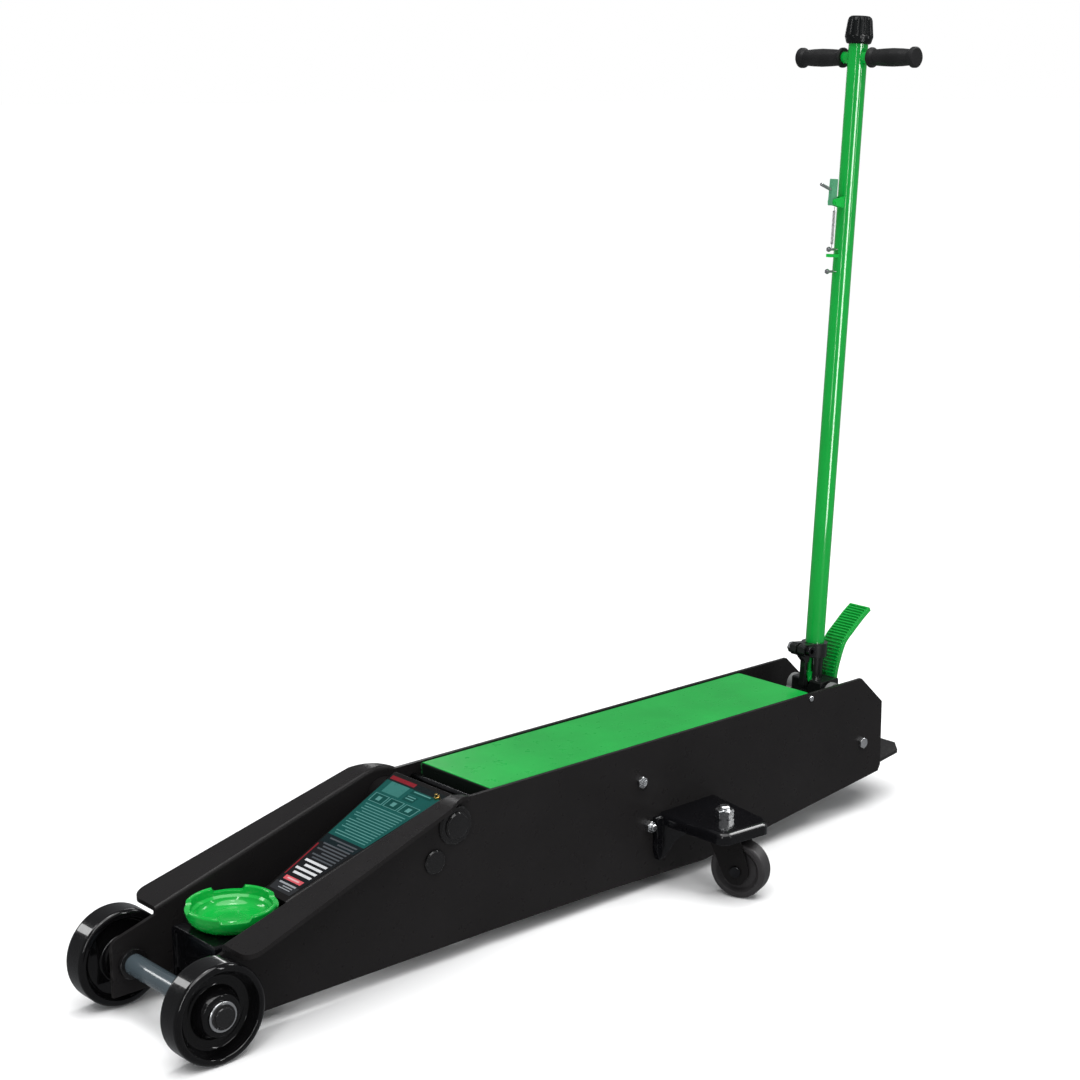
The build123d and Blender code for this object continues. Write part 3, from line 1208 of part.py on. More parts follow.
def fork_side(d):
    """Upright plane square to the wheel's axle, d along it; local x is the trail from the king bolt, local y is height."""
    return Plane(origin=(CAST_X + d * tc, -CAST_Y + d * ts, 0), x_dir=(ts, -tc, 0), z_dir=(-tc, -ts, 0))


with BuildPart() as left_caster_fork:
    # top plate, bearing cup and two broad legs
    with BuildSketch(fork_plane(88)) as tp:
        with Locations((0, -4)):
            Rectangle(2 * (CW_HALF + 5), 52)
    extrude(amount=4)
    with BuildSketch(fork_plane(92)):
        Circle(20)
    extrude(amount=SHELF_Z - BR5 - 0.4 - 92, taper=6)
    for side in (-1, 1):
        with BuildSketch(fork_side(side * (CW_HALF + 1.0))) as leg:
            with BuildLine():
                Polyline((-18, 91.9), (32, 91.9), (CAST_TRAIL + 19.5, 50), (CAST_TRAIL + 19, 36), (CAST_TRAIL + 8, 21.5), (CAST_TRAIL - 8, 21.5), (CAST_TRAIL - 18, 31), close=True)
            make_face()
            fillet(leg.vertices().group_by(Axis.Y)[:3][0] + leg.vertices().sort_by(Axis.Y)[2:4], 9)
        extrude(amount=-side * 4)
    with BuildSketch(fork_plane(80)):
        Circle(8 + FIT)
    extrude(amount=40, mode=Mode.SUBTRACT)
    with BuildSketch(fork_side(0)):
        with Locations((CAST_TRAIL, CAST_R)):
            Circle(6)
    extrude(amount=CW_HALF + 8, both=True, mode=Mode.SUBTRACT)
save(left_caster_fork, "left_caster_fork")

with BuildPart() as left_caster_bolt:
    with BuildSketch(fork_side(0)):
        with Locations((CAST_TRAIL, CAST_R)):
            Circle(6)
    extrude(amount=CW_HALF + 7, both=True)
    for side in (-1, 1):
        with BuildSketch(fork_side(side * (CW_HALF + 5))):
            with Locations((CAST_TRAIL, CAST_R)):
                Circle(8.5)
        extrude(amount=-side * 3.2)
    fillet(left_caster_bolt.edges().filter_by(lambda e: e.geom_type == GeomType.CIRCLE and abs(e.radius - 8.5) < 0.05), 1.2)
save(left_caster_bolt, "left_caster_bolt")

with BuildPart() as left_caster_wheel:
    with BuildSketch(Plane(origin=(WX, -WY, CAST_R), x_dir=(tc, ts, 0), z_dir=(ts, -tc, 0))) as cwp:
        with BuildLine():
            Polyline((-14.5, 6 + FIT), (-14.5, 12), (-9, 14), (-7.5, 28), (-14.5, 33.5), (-14.5, CAST_R), (14.5, CAST_R),
                     (14.5, 33.5), (7.5, 28), (9, 14), (14.5, 12), (14.5, 6 + FIT), close=True)
        make_face()
        for px, py, fr in ((-14.5, CAST_R, 4), (14.5, CAST_R, 4), (-14.5, 33.5, 1.5), (14.5, 33.5, 1.5), (-7.5, 28, 3), (7.5, 28, 3), (-9, 14, 2), (9, 14, 2)):
            fillet(cwp.vertices().sort_by_distance((px, py, 0))[0], fr)
    revolve(axis=Axis((WX, -WY, CAST_R), (tc, ts, 0)))
save(left_caster_wheel, "left_caster_wheel")

with BuildPart() as right_caster_fork:
    mirror(left_caster_fork.part, about=Plane.XZ)
save(right_caster_fork, "right_caster_fork")

with BuildPart() as right_caster_bolt:
    mirror(left_caster_bolt.part, about=Plane.XZ)
save(right_caster_bolt, "right_caster_bolt")

with BuildPart() as right_caster_wheel:
    mirror(left_caster_wheel.part, about=Plane.XZ)
save(right_caster_wheel, "right_caster_wheel")
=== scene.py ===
import bpy
import bmesh
import json
import math
import random
from math import sin, cos, radians, pi, hypot, atan2
from mathutils import Vector, Matrix, noise


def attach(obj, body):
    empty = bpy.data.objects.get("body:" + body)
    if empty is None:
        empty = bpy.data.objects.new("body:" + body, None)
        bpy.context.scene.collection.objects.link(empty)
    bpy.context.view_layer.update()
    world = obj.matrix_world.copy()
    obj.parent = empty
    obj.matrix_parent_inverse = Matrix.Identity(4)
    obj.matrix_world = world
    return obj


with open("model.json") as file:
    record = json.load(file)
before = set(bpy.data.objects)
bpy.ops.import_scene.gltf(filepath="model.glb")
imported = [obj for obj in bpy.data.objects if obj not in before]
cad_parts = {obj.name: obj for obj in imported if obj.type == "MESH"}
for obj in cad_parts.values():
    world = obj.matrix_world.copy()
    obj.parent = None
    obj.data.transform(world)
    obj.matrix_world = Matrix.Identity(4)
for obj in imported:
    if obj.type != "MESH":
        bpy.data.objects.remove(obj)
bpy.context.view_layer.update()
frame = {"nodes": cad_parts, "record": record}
NODES = frame["nodes"]
random.seed(7)


# ---------------------------------------------------------------- node helpers
def new_mat(name):
    m = bpy.data.materials.new(name)
    m.use_nodes = True
    nt = m.node_tree
    nt.nodes.clear()
    out = nt.nodes.new("ShaderNodeOutputMaterial")
    bsdf = nt.nodes.new("ShaderNodeBsdfPrincipled")
    nt.links.new(bsdf.outputs["BSDF"], out.inputs["Surface"])
    return m, nt, bsdf


def coords(nt, scale=(1, 1, 1)):
    tc = nt.nodes.new("ShaderNodeTexCoord")
    mp = nt.nodes.new("ShaderNodeMapping")
    mp.inputs["Scale"].default_value = scale
    nt.links.new(tc.outputs["Object"], mp.inputs["Vector"])
    return mp.outputs["Vector"]


def noise_tex(nt, vec, scale, detail=2.0, rough=0.5, distortion=0.0):
    n = nt.nodes.new("ShaderNodeTexNoise")
    n.inputs["Scale"].default_value = scale
    n.inputs["Detail"].default_value = detail
    n.inputs["Roughness"].default_value = rough
    n.inputs["Distortion"].default_value = distortion
    nt.links.new(vec, n.inputs["Vector"])
    return n.outputs["Fac"]


def remap(nt, fac, lo, hi, a=0.3, b=0.7):
    r = nt.nodes.new("ShaderNodeMapRange")
    r.inputs["From Min"].default_value = a
    r.inputs["From Max"].default_value = b
    r.inputs["To Min"].default_value = lo
    r.inputs["To Max"].default_value = hi
    nt.links.new(fac, r.inputs["Value"])
    return r.outputs["Result"]


def ramp(nt, fac, stops):
    r = nt.nodes.new("ShaderNodeValToRGB")
    els = r.color_ramp.elements
    while len(els) > 1:
        els.remove(els[-1])
    els[0].position = stops[0][0]
    els[0].color = (*stops[0][1], 1)
    for p, c in stops[1:]:
        e = els.new(p)
        e.color = (*c, 1)
    nt.links.new(fac, r.inputs["Fac"])
    return r.outputs["Color"]


def math_node(nt, op, a, b=None):
    n = nt.nodes.new("ShaderNodeMath")
    n.operation = op
    for i, v in enumerate((a, b)):
        if v is None:
            continue
        if isinstance(v, (int, float)):
            n.inputs[i].default_value = v
        else:
            nt.links.new(v, n.inputs[i])
    return n.outputs[0]


def mix_col(nt, fac, a, b):
    n = nt.nodes.new("ShaderNodeMix")
    n.data_type = "RGBA"
    if isinstance(fac, (int, float)):
        n.inputs[0].default_value = fac
    else:
        nt.links.new(fac, n.inputs[0])
    for i, v in ((6, a), (7, b)):
        if isinstance(v, tuple):
            n.inputs[i].default_value = (*v, 1)
        else:
            nt.links.new(v, n.inputs[i])
    return n.outputs[2]


def bump(nt, height, strength, dist, prev=None):
    b = nt.nodes.new("ShaderNodeBump")
    b.inputs["Strength"].default_value = strength
    b.inputs["Distance"].default_value = dist
    nt.links.new(height, b.inputs["Height"])
    if prev is not None:
        nt.links.new(prev, b.inputs["Normal"])
    return b.outputs["Normal"]


def edges(nt, radius):
    """Softened edges: a normal that rolls over each corner, and a mask that is 1 on the corner and 0 away from it."""
    bv = nt.nodes.new("ShaderNodeBevel")
    bv.samples = 4
    bv.inputs["Radius"].default_value = radius
    g = nt.nodes.new("ShaderNodeNewGeometry")
    dot = nt.nodes.new("ShaderNodeVectorMath")
    dot.operation = "DOT_PRODUCT"
    nt.links.new(bv.outputs["Normal"], dot.inputs[0])
    nt.links.new(g.outputs["Normal"], dot.inputs[1])
    return bv.outputs["Normal"], remap(nt, dot.outputs["Value"], 1.0, 0.0, 0.82, 0.985)


def edge_wear_and_highlight(nt, v, col, mask, to, amount, scale=75.0):
    """Paint rubbed thin in broken patches along the edges. On the pin discs a pale colour at a high amount paints a
    highlight line along the edges instead of wear.
    """
    patches = remap(nt, noise_tex(nt, v, scale, 4.0, 0.7), 0.0, 1.0, 0.46, 0.60)
    f = math_node(nt, "MULTIPLY", math_node(nt, "MULTIPLY", mask, patches), amount)
    return mix_col(nt, f, col, to)


def painted(name, dark, light, rough, coat=0.0, coat_rough=0.1, peel=0.25, peel_scale=420.0, grit=0.0, spec=0.5, dust=0.0, edge=0.0009, edge_amount=0.35, edge_colour=(0.060, 0.058, 0.056), rub=None, zone=None):
    """Sprayed or powder-coated metal: orange peel, small runs of gloss, a trace of dust on upward faces."""
    m, nt, b = new_mat(name)
    v = coords(nt)
    big = noise_tex(nt, v, 7.0, 3.0, 0.6)
    mid = noise_tex(nt, v, 60.0, 3.0, 0.6)
    col = ramp(nt, big, [(0.3, dark), (0.7, light)])
    if dust > 0:
        g = nt.nodes.new("ShaderNodeNewGeometry")
        sep = nt.nodes.new("ShaderNodeSeparateXYZ")
        nt.links.new(g.outputs["Normal"], sep.inputs[0])
        up = remap(nt, sep.outputs["Z"], 0.0, 1.0, 0.4, 1.0)
        spots = remap(nt, noise_tex(nt, v, 160.0, 4.0, 0.7), 0.0, 1.0, 0.5, 0.72)
        f = math_node(nt, "MULTIPLY", math_node(nt, "MULTIPLY", up, spots), dust)
        col = mix_col(nt, f, col, (0.22, 0.21, 0.20))
    if zone is not None:
        col = mix_col(nt, zone[0](nt, v), col, zone[1])
    soft = None
    if edge > 0:
        soft, corner = edges(nt, edge)
        col = edge_wear_and_highlight(nt, v, col, corner, edge_colour, edge_amount)
    if rub is not None:
        col = edge_wear_and_highlight(nt, v, col, rub(nt, v), edge_colour, edge_amount)
    nt.links.new(col, b.inputs["Base Color"])
    nt.links.new(remap(nt, mid, rough * 0.86, rough * 1.16), b.inputs["Roughness"])
    b.inputs["Specular IOR Level"].default_value = spec
    if coat > 0:
        b.inputs["Coat Weight"].default_value = coat
        b.inputs["Coat Roughness"].default_value = coat_rough
    nrm = bump(nt, noise_tex(nt, v, peel_scale, 1.0, 0.4), peel, 0.0004, soft)
    if grit > 0:
        nrm = bump(nt, noise_tex(nt, v, 1400.0, 3.0, 0.7), grit, 0.0004, nrm)
    nt.links.new(nrm, b.inputs["Normal"])
    return m


def cast(name, dark, light, rough, coat=0.0, grain=0.5, scale=520.0, metallic=0.0, spec=0.3, coat_rough=0.10, edge=0.0010, edge_amount=0.35, edge_colour=(0.075, 0.074, 0.072)):
    """Painted sand casting: pitted grain and soft waves."""
    m, nt, b = new_mat(name)
    v = coords(nt)
    col = ramp(nt, noise_tex(nt, v, 22.0, 4.0, 0.65), [(0.3, dark), (0.7, light)])
    soft, corner = edges(nt, edge)
    col = edge_wear_and_highlight(nt, v, col, corner, edge_colour, edge_amount)
    nt.links.new(col, b.inputs["Base Color"])
    nt.links.new(remap(nt, noise_tex(nt, v, 90.0, 3.0, 0.6), rough * 0.8, rough * 1.2), b.inputs["Roughness"])
    b.inputs["Metallic"].default_value = metallic
    b.inputs["Specular IOR Level"].default_value = spec
    if coat > 0:
        b.inputs["Coat Weight"].default_value = coat
        b.inputs["Coat Roughness"].default_value = coat_rough
    n1 = bump(nt, noise_tex(nt, v, scale, 4.0, 0.7), grain, 0.0005, soft)
    n2 = bump(nt, noise_tex(nt, v, 70.0, 2.0, 0.5), 0.25, 0.0012, n1)
    nt.links.new(n2, b.inputs["Normal"])
    return m


def metal(name, dark, light, rough, streak=(1, 1, 1), streak_scale=900.0, strength=0.08, tint=None, edge=0.0005):
    """Bare or plated metal with fine machining marks and a cloudy finish."""
    m, nt, b = new_mat(name)
    v = coords(nt)
    vs = coords(nt, streak)
    col = ramp(nt, noise_tex(nt, v, 45.0, 4.0, 0.6), [(0.32, dark), (0.68, light)])
    if tint is not None:
        col = mix_col(nt, remap(nt, noise_tex(nt, v, 130.0, 3.0, 0.6), 0.0, 0.35, 0.5, 0.8), col, tint)
    b.inputs["Metallic"].default_value = 1.0
    nt.links.new(remap(nt, noise_tex(nt, v, 120.0, 3.0, 0.6), rough * 0.75, rough * 1.3), b.inputs["Roughness"])
    soft, corner = edges(nt, edge)
    col = edge_wear_and_highlight(nt, v, col, corner, tuple(min(0.92, c * 1.35 + 0.02) for c in light), 0.6, 120.0)
    nt.links.new(col, b.inputs["Base Color"])
    nt.links.new(bump(nt, noise_tex(nt, vs, streak_scale, 2.0, 0.6), strength, 0.0002, soft), b.inputs["Normal"])
    return m


def moulded(name, dark, light, rough, grain=0.35, scale=900.0, spec=0.5):
    """Moulded rubber or plastic: fine leather-like skin and slight handling polish."""
    m, nt, b = new_mat(name)
    v = coords(nt)
    nt.links.new(ramp(nt, noise_tex(nt, v, 30.0, 3.0, 0.6), [(0.3, dark), (0.7, light)]), b.inputs["Base Color"])
    nt.links.new(remap(nt, noise_tex(nt, v, 55.0, 3.0, 0.6), rough * 0.85, min(1.0, rough * 1.15)), b.inputs["Roughness"])
    b.inputs["Specular IOR Level"].default_value = spec
    vo = nt.nodes.new("ShaderNodeTexVoronoi")
    vo.inputs["Scale"].default_value = scale
    nt.links.new(v, vo.inputs["Vector"])
    n1 = bump(nt, vo.outputs["Distance"], grain, 0.0003)
    n2 = bump(nt, noise_tex(nt, v, scale * 0.4, 2.0, 0.5), grain * 0.5, 0.0003, n1)
    nt.links.new(n2, b.inputs["Normal"])
    return m


def zoned(name, mask, a_cols, b_cols, a_rough, b_rough, a_metal, b_metal, spec=0.3, grain=0.10):
    """Two finishes on one piece: mask is 0 where finish a shows and 1 where finish b does."""
    m, nt, b = new_mat(name)
    v = coords(nt)
    f = mask(nt, v)
    n = noise_tex(nt, v, 45.0, 3.0, 0.6)
    col = mix_col(nt, f, ramp(nt, n, [(0.3, a_cols[0]), (0.7, a_cols[1])]), ramp(nt, n, [(0.3, b_cols[0]), (0.7, b_cols[1])]))
    nt.links.new(col, b.inputs["Base Color"])
    rr = remap(nt, noise_tex(nt, v, 110.0, 3.0, 0.6), 0.82, 1.2)
    base = remap(nt, f, a_rough, b_rough, 0.0, 1.0)
    nt.links.new(math_node(nt, "MULTIPLY", rr, base), b.inputs["Roughness"])
    if a_metal == b_metal:
        b.inputs["Metallic"].default_value = a_metal
    else:
        nt.links.new(remap(nt, f, a_metal, b_metal, 0.0, 1.0), b.inputs["Metallic"])
    b.inputs["Specular IOR Level"].default_value = spec
    nt.links.new(bump(nt, noise_tex(nt, v, 420.0, 3.0, 0.6), grain, 0.0003), b.inputs["Normal"])
    return m


def along(nt, v, origin, direction):
    """Distance of a point from origin, measured along direction."""
    sub = nt.nodes.new("ShaderNodeVectorMath")
    sub.operation = "SUBTRACT"
    nt.links.new(v, sub.inputs[0])
    sub.inputs[1].default_value = tuple(origin)
    dot = nt.nodes.new("ShaderNodeVectorMath")
    dot.operation = "DOT_PRODUCT"
    nt.links.new(sub.outputs["Vector"], dot.inputs[0])
    dot.inputs[1].default_value = tuple(direction)
    return dot.outputs["Value"]


def plate_rub(nt, v):
    """1 along the lower edge and the rear end of the side plates and beside the axle, where they scrape."""
    sep = nt.nodes.new("ShaderNodeSeparateXYZ")
    nt.links.new(v, sep.inputs[0])
    low = remap(nt, sep.outputs["Z"], 1.0, 0.0, 0.0160, 0.0270)
    back = remap(nt, sep.outputs["X"], 0.0, 1.0, 0.6370, 0.6395)
    front = remap(nt, sep.outputs["X"], 1.0, 0.0, -0.6808, -0.6785)
    return math_node(nt, "MAXIMUM", math_node(nt, "MAXIMUM", low, back), front)


def axle_end(nt, v):
    """1 on the axle's black ends, outside the plates."""
    return math_node(nt, "GREATER_THAN", math_node(nt, "ABSOLUTE", along(nt, v, (0, 0, 0), (0, 1, 0))), 0.090)


def cover_front_painted_shade(nt, v):
    """1 on the cover's turned-down front end, which is coloured near-black as painted shade standing in for the shade
    on its green lip.
    """
    return math_node(nt, "LESS_THAN", along(nt, v, (-0.1776, 0, 0), (1, 0, 0)), 0.0)


def cover_rub(nt, v):
    """1 along the long edges of the cover's top."""
    sep = nt.nodes.new("ShaderNodeSeparateXYZ")
    nt.links.new(v, sep.inputs[0])
    return remap(nt, math_node(nt, "ABSOLUTE", sep.outputs["Y"]), 0.0, 1.0, 0.0715, 0.0745)


GREEN_D, GREEN_L = (0.0012, 0.375, 0.040), (0.0026, 0.425, 0.049)
ZINC_D, ZINC_L = (0.60, 0.61, 0.63), (0.78, 0.79, 0.80)

M = {
    "black_paint": painted("black_enamel", (0.0062, 0.0057, 0.0058), (0.0080, 0.0074, 0.0075), 0.30, peel=0.05, peel_scale=240.0, spec=0.105, edge=0.0012, edge_amount=0.30),
    "plate_paint": painted("black_sheet_enamel", (0.0106, 0.0098, 0.0100), (0.0130, 0.0121, 0.0123), 0.30, peel=0.04, peel_scale=240.0, spec=0.105, edge=0.0, edge_amount=0.22, rub=plate_rub),
    # Painted highlight: on the pin discs the pale edge colour at a high edge amount paints a thin light line along
    # each edge, standing in for the highlight on their chamfers; it is not wear.
    "disc_enamel_painted_highlight": painted("black_disc_enamel_painted_highlight", (0.0062, 0.0060, 0.0062), (0.0086, 0.0083, 0.0086), 0.24, coat=0.60, coat_rough=0.06, peel=0.05, peel_scale=300.0, spec=0.10, edge=0.0014, edge_amount=0.85, edge_colour=(0.13, 0.13, 0.135)),
    # Painted sheen: the black axle's base colour is raised to a blue-grey that stands in for its bluish highlight; the
    # ends outside the plates stay black.
    "axle_enamel_painted_sheen": painted("black_enamel_painted_blue_sheen", (0.040, 0.055, 0.064), (0.062, 0.080, 0.092), 0.22, coat=0.60, coat_rough=0.07, peel=0.05, peel_scale=300.0, spec=0.35, edge=0.0010, edge_amount=0.25, zone=(axle_end, (0.0045, 0.0044, 0.0048))),
    # Painted shade: this green is darker than the green enamel so the lit top reads darker, and the green front lip is
    # coloured near-black for the shade it sits in.
    "cover_paint_painted_shade": painted("green_sheet_enamel_painted_shade", (0.0014, 0.270, 0.034), (0.0040, 0.345, 0.046), 0.30, coat=0.36, coat_rough=0.10, peel=0.03, peel_scale=200.0, spec=0.14, edge=0.0, edge_amount=0.30, edge_colour=(0.060, 0.480, 0.130), rub=cover_rub, zone=(cover_front_painted_shade, (0.0060, 0.0085, 0.0070))),
    "gloss_black": painted("black_gloss_enamel", (0.0022, 0.0022, 0.0027), (0.0034, 0.0034, 0.0042), 0.24, coat=0.50, coat_rough=0.10, peel=0.08, peel_scale=170.0, spec=0.10, edge=0.0022, edge_amount=0.35, edge_colour=(0.10, 0.10, 0.105)),
    "wheel_casting": cast("wheel_enamel", (0.0019, 0.0018, 0.0021), (0.0030, 0.0029, 0.0032), 0.17, coat=0.60, coat_rough=0.035, grain=0.05, scale=240.0, spec=0.06),
    "green_paint": painted("green_enamel", GREEN_D, GREEN_L, 0.30, coat=0.32, coat_rough=0.06, peel=0.08, peel_scale=260.0, spec=0.14, edge_amount=0.30, edge_colour=(0.060, 0.480, 0.130)),
    "scuffed_paint": painted("black_scuffed_enamel", (0.0150, 0.0145, 0.0145), (0.0235, 0.0228, 0.0228), 0.36, peel=0.10, dust=0.10, spec=0.16, edge_amount=0.5),
    # Painted shade: a darker copy of the green enamel for the upright handle tube and T-bar, standing in for the shade
    # they show.
    "tube_paint_painted_shade": painted("green_tube_enamel_painted_shade", (0.0010, 0.288, 0.033), (0.0018, 0.325, 0.039), 0.30, coat=0.85, coat_rough=0.06, peel=0.05, peel_scale=260.0, spec=0.06, edge_amount=0.30, edge_colour=(0.060, 0.480, 0.130)),
    "green_casting": painted("green_enamel_on_casting", (0.0012, 0.305, 0.034), (0.0026, 0.350, 0.042), 0.26, coat=0.60, coat_rough=0.035, peel=0.16, peel_scale=190.0, grit=0.04, spec=0.18, edge=0.0014, edge_amount=0.22, edge_colour=(0.050, 0.500, 0.120)),
    "unit_paint": painted("unit_black_paint", (0.010, 0.010, 0.0105), (0.015, 0.015, 0.0155), 0.36, peel=0.2, dust=0.10, spec=0.25),
    "grey_casting": cast("bare_grey_casting", (0.135, 0.140, 0.138), (0.215, 0.222, 0.218), 0.42, grain=0.35, spec=0.35, edge=0.0008, edge_amount=0.5, edge_colour=(0.42, 0.42, 0.42)),
    "unit_casting": cast("unit_casting", (0.010, 0.010, 0.0105), (0.016, 0.016, 0.0165), 0.46, grain=0.45, spec=0.25),
    "socket_casting": cast("socket_casting", (0.0050, 0.0062, 0.0060), (0.0095, 0.0110, 0.0105), 0.34, coat=0.55, coat_rough=0.08, grain=0.22, spec=0.12),
    "black_steel": metal("oiled_black_steel", (0.028, 0.028, 0.030), (0.050, 0.050, 0.053), 0.26, streak=(1, 6, 1)),
    "zinc": metal("zinc_plate", ZINC_D, ZINC_L, 0.24, strength=0.06, tint=(0.72, 0.70, 0.62)),
    "ground_steel": metal("ground_steel", (0.50, 0.50, 0.51), (0.66, 0.66, 0.66), 0.18, streak=(30, 1, 1), strength=0.10),
    "spring_steel": metal("spring_wire", (0.30, 0.30, 0.31), (0.46, 0.46, 0.46), 0.30),
    "chrome": metal("hard_chrome", (0.70, 0.70, 0.71), (0.80, 0.80, 0.81), 0.08, streak=(40, 1, 1), strength=0.03),
    "brass": metal("turned_brass", (0.62, 0.42, 0.13), (0.78, 0.56, 0.20), 0.25),
    "rubber": moulded("grip_rubber", (0.0078, 0.0078, 0.0081), (0.0120, 0.0120, 0.0125), 0.50, grain=0.30, scale=1300.0, spec=0.22),
    "knob_plastic": moulded("knob_plastic", (0.0034, 0.0041, 0.0043), (0.0052, 0.0061, 0.0064), 0.26, grain=0.10, scale=1500.0, spec=0.20),
    "caster_tread": moulded("caster_nylon", (0.024, 0.0225, 0.0235), (0.033, 0.0315, 0.0325), 0.38, grain=0.12, scale=700.0, spec=0.18),
}

slot_of = {s["node"]: s["material_slot"] for s in frame["record"]["subparts"]}
for name, obj in NODES.items():
    mat = M[slot_of[name]]
    if not obj.material_slots:
        obj.data.materials.append(mat)
    for sl in obj.material_slots:
        sl.material = mat


# ---------------------------------------------------------------- shared dimensions, metres
X0 = -0.653
ARM_DOWN = radians(20.8)
ca, sa = cos(ARM_DOWN), sin(ARM_DOWN)
PIV = Vector((X0 + 0.405, 0, 0.193))
UD = Vector((-ca, 0, -sa))
VD = Vector((-sa, 0, ca))
LEAN = radians(4.25)
cl, sl_ = cos(LEAN), sin(LEAN)
HO = Vector((X0 + 1.2152, 0, 0.196))
HR = Vector((cl, 0, -sl_))        # rearward, square to the handle
HU = Vector((sl_, 0, cl))         # up the handle


def far_side(nt, v):
    return math_node(nt, "GREATER_THAN", along(nt, v, (0, 0, 0), (0, 1, 0)), 0.0)


def clear_of_tube(nt, v):
    """1 on the two studs and their nuts, 0 on the painted lug and ears."""
    s = along(nt, v, HO, HU)
    hit = None
    for st in (0.7035, 0.6695):
        near = math_node(nt, "LESS_THAN", math_node(nt, "ABSOLUTE", math_node(nt, "SUBTRACT", s, st)), 0.0045)
        hit = near if hit is None else math_node(nt, "MAXIMUM", hit, near)
    return hit


def lever_pin(nt, v):
    """1 on the round pin that sticks out forward of the lever plate."""
    side = math_node(nt, "LESS_THAN", along(nt, v, HO, HR), -0.0418)
    return side


for name in ("left_caster_bracket", "right_caster_bracket", "saddle_bracket", "bracket_front_plate"):
    NODES[name].material_slots[0].material = M["gloss_black"]
# The cover takes the darkened green with the near-black front lip, both painted shade.
NODES["rear_cover"].material_slots[0].material = M["cover_paint_painted_shade"]
NODES["pump_block"].material_slots[0].material = M["grey_casting"]
NODES["rear_plate"].material_slots[0].material = M["scuffed_paint"]
# The handle tube and T-bar take the darker, painted-shade copy of the green.
for name in ("handle_tube", "t_bar"):
    NODES[name].material_slots[0].material = M["tube_paint_painted_shade"]
for name in ("left_side_plate", "right_side_plate"):
    NODES[name].material_slots[0].material = M["plate_paint"]
# The pins and discs take the enamel with the painted highlight along their edges.
for name in ("axle_rings", "pivot_shaft_rings", "link_pins", "arm_pivot_shaft", "bracket_upper_pin", "bracket_lower_pin"):
    NODES[name].material_slots[0].material = M["disc_enamel_painted_highlight"]
NODES["front_axle"].material_slots[0].material = M["axle_enamel_painted_sheen"]
for name in ("left_caster_bolt", "right_caster_bolt"):
    NODES[name].material_slots[0].material = M["black_steel"]
NODES["socket_bolts"].material_slots[0].material = zoned("socket_bolt_finish", far_side, ((0.028, 0.028, 0.030), (0.050, 0.050, 0.053)), (ZINC_D, ZINC_L), 0.26, 0.24, 1.0, 1.0)
NODES["tube_lugs"].material_slots[0].material = zoned("lug_finish", clear_of_tube, (GREEN_D, GREEN_L), ((0.42, 0.43, 0.44), (0.60, 0.61, 0.62)), 0.32, 0.26, 0.0, 1.0)
NODES["lock_lever"].material_slots[0].material = zoned("lever_finish", lever_pin, ((0.060, 0.250, 0.125), (0.080, 0.310, 0.160)), ((0.46, 0.46, 0.47), (0.62, 0.62, 0.63)), 0.34, 0.28, 0.0, 1.0)


def arm_pt(u, y, v):
    return PIV + UD * u + VD * v + Vector((0, y, 0))


def add_mesh(name, verts, faces, mat, body, smooth=True, uvs=None):
    me = bpy.data.meshes.new(name)
    me.from_pydata([tuple(v) for v in verts], [], faces)
    me.update()
    if uvs is not None:
        lay = me.uv_layers.new(name="map")
        for poly in me.polygons:
            for li in poly.loop_indices:
                lay.data[li].uv = uvs[me.loops[li].vertex_index]
    ob = bpy.data.objects.new(name, me)
    bpy.context.scene.collection.objects.link(ob)
    me.materials.append(mat)
    if smooth:
        for p in me.polygons:
            p.use_smooth = True
    bm = bmesh.new()
    bm.from_mesh(me)
    bmesh.ops.recalc_face_normals(bm, faces=bm.faces)
    bm.to_mesh(me)
    bm.free()
    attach(ob, body)
    return ob


def bead(name, path, radius, mat, body, step=0.0022, seg=10, normal=None, seed=1):
    """A weld bead: overlapping rippled scallops along a path."""
    pts = [Vector(p) for p in path]
    dense = []
    for a, b in zip(pts, pts[1:]):
        n = max(1, int((b - a).length / (step / 4)))
        for i in range(n):
            dense.append(a.lerp(b, i / n))
    dense.append(pts[-1])
    verts, faces = [], []
    run = 0.0
    for i, p in enumerate(dense):
        q0, q1 = dense[max(0, i - 1)], dense[min(len(dense) - 1, i + 1)]
        t = (q1 - q0).normalized()
        if i:
            run += (p - dense[i - 1]).length
        ph = (run % step) / step
        w = noise.noise(Vector((run * 260.0, seed * 3.1, 0.0)))
        rr = radius * (0.80 + 0.20 * math.sqrt(max(0.0, 1 - (2 * ph - 1) ** 2)) + 0.10 * w)
        if i == 0 or i == len(dense) - 1:
            rr *= 0.35
        ref = Vector((0, 0, 1)) if abs(t.z) < 0.9 else Vector((1, 0, 0))
        a = t.cross(ref).normalized()
        b = t.cross(a).normalized()
        for k in range(seg):
            th = 2 * pi * k / seg
            verts.append(p + (a * cos(th) + b * sin(th)) * rr)
    n = len(dense)
    for i in range(n - 1):
        for k in range(seg):
            k2 = (k + 1) % seg
            faces.append((i * seg + k, i * seg + k2, (i + 1) * seg + k2, (i + 1) * seg + k))
    faces.append(tuple(range(seg - 1, -1, -1)))
    faces.append(tuple(range((n - 1) * seg, n * seg)))
    return add_mesh(name, verts, faces, mat, body)


# ---------------------------------------------------------------- printed colour panel on the lift arm
def arm_half(u):
    return 0.070 - 0.138 * (u + 0.017)


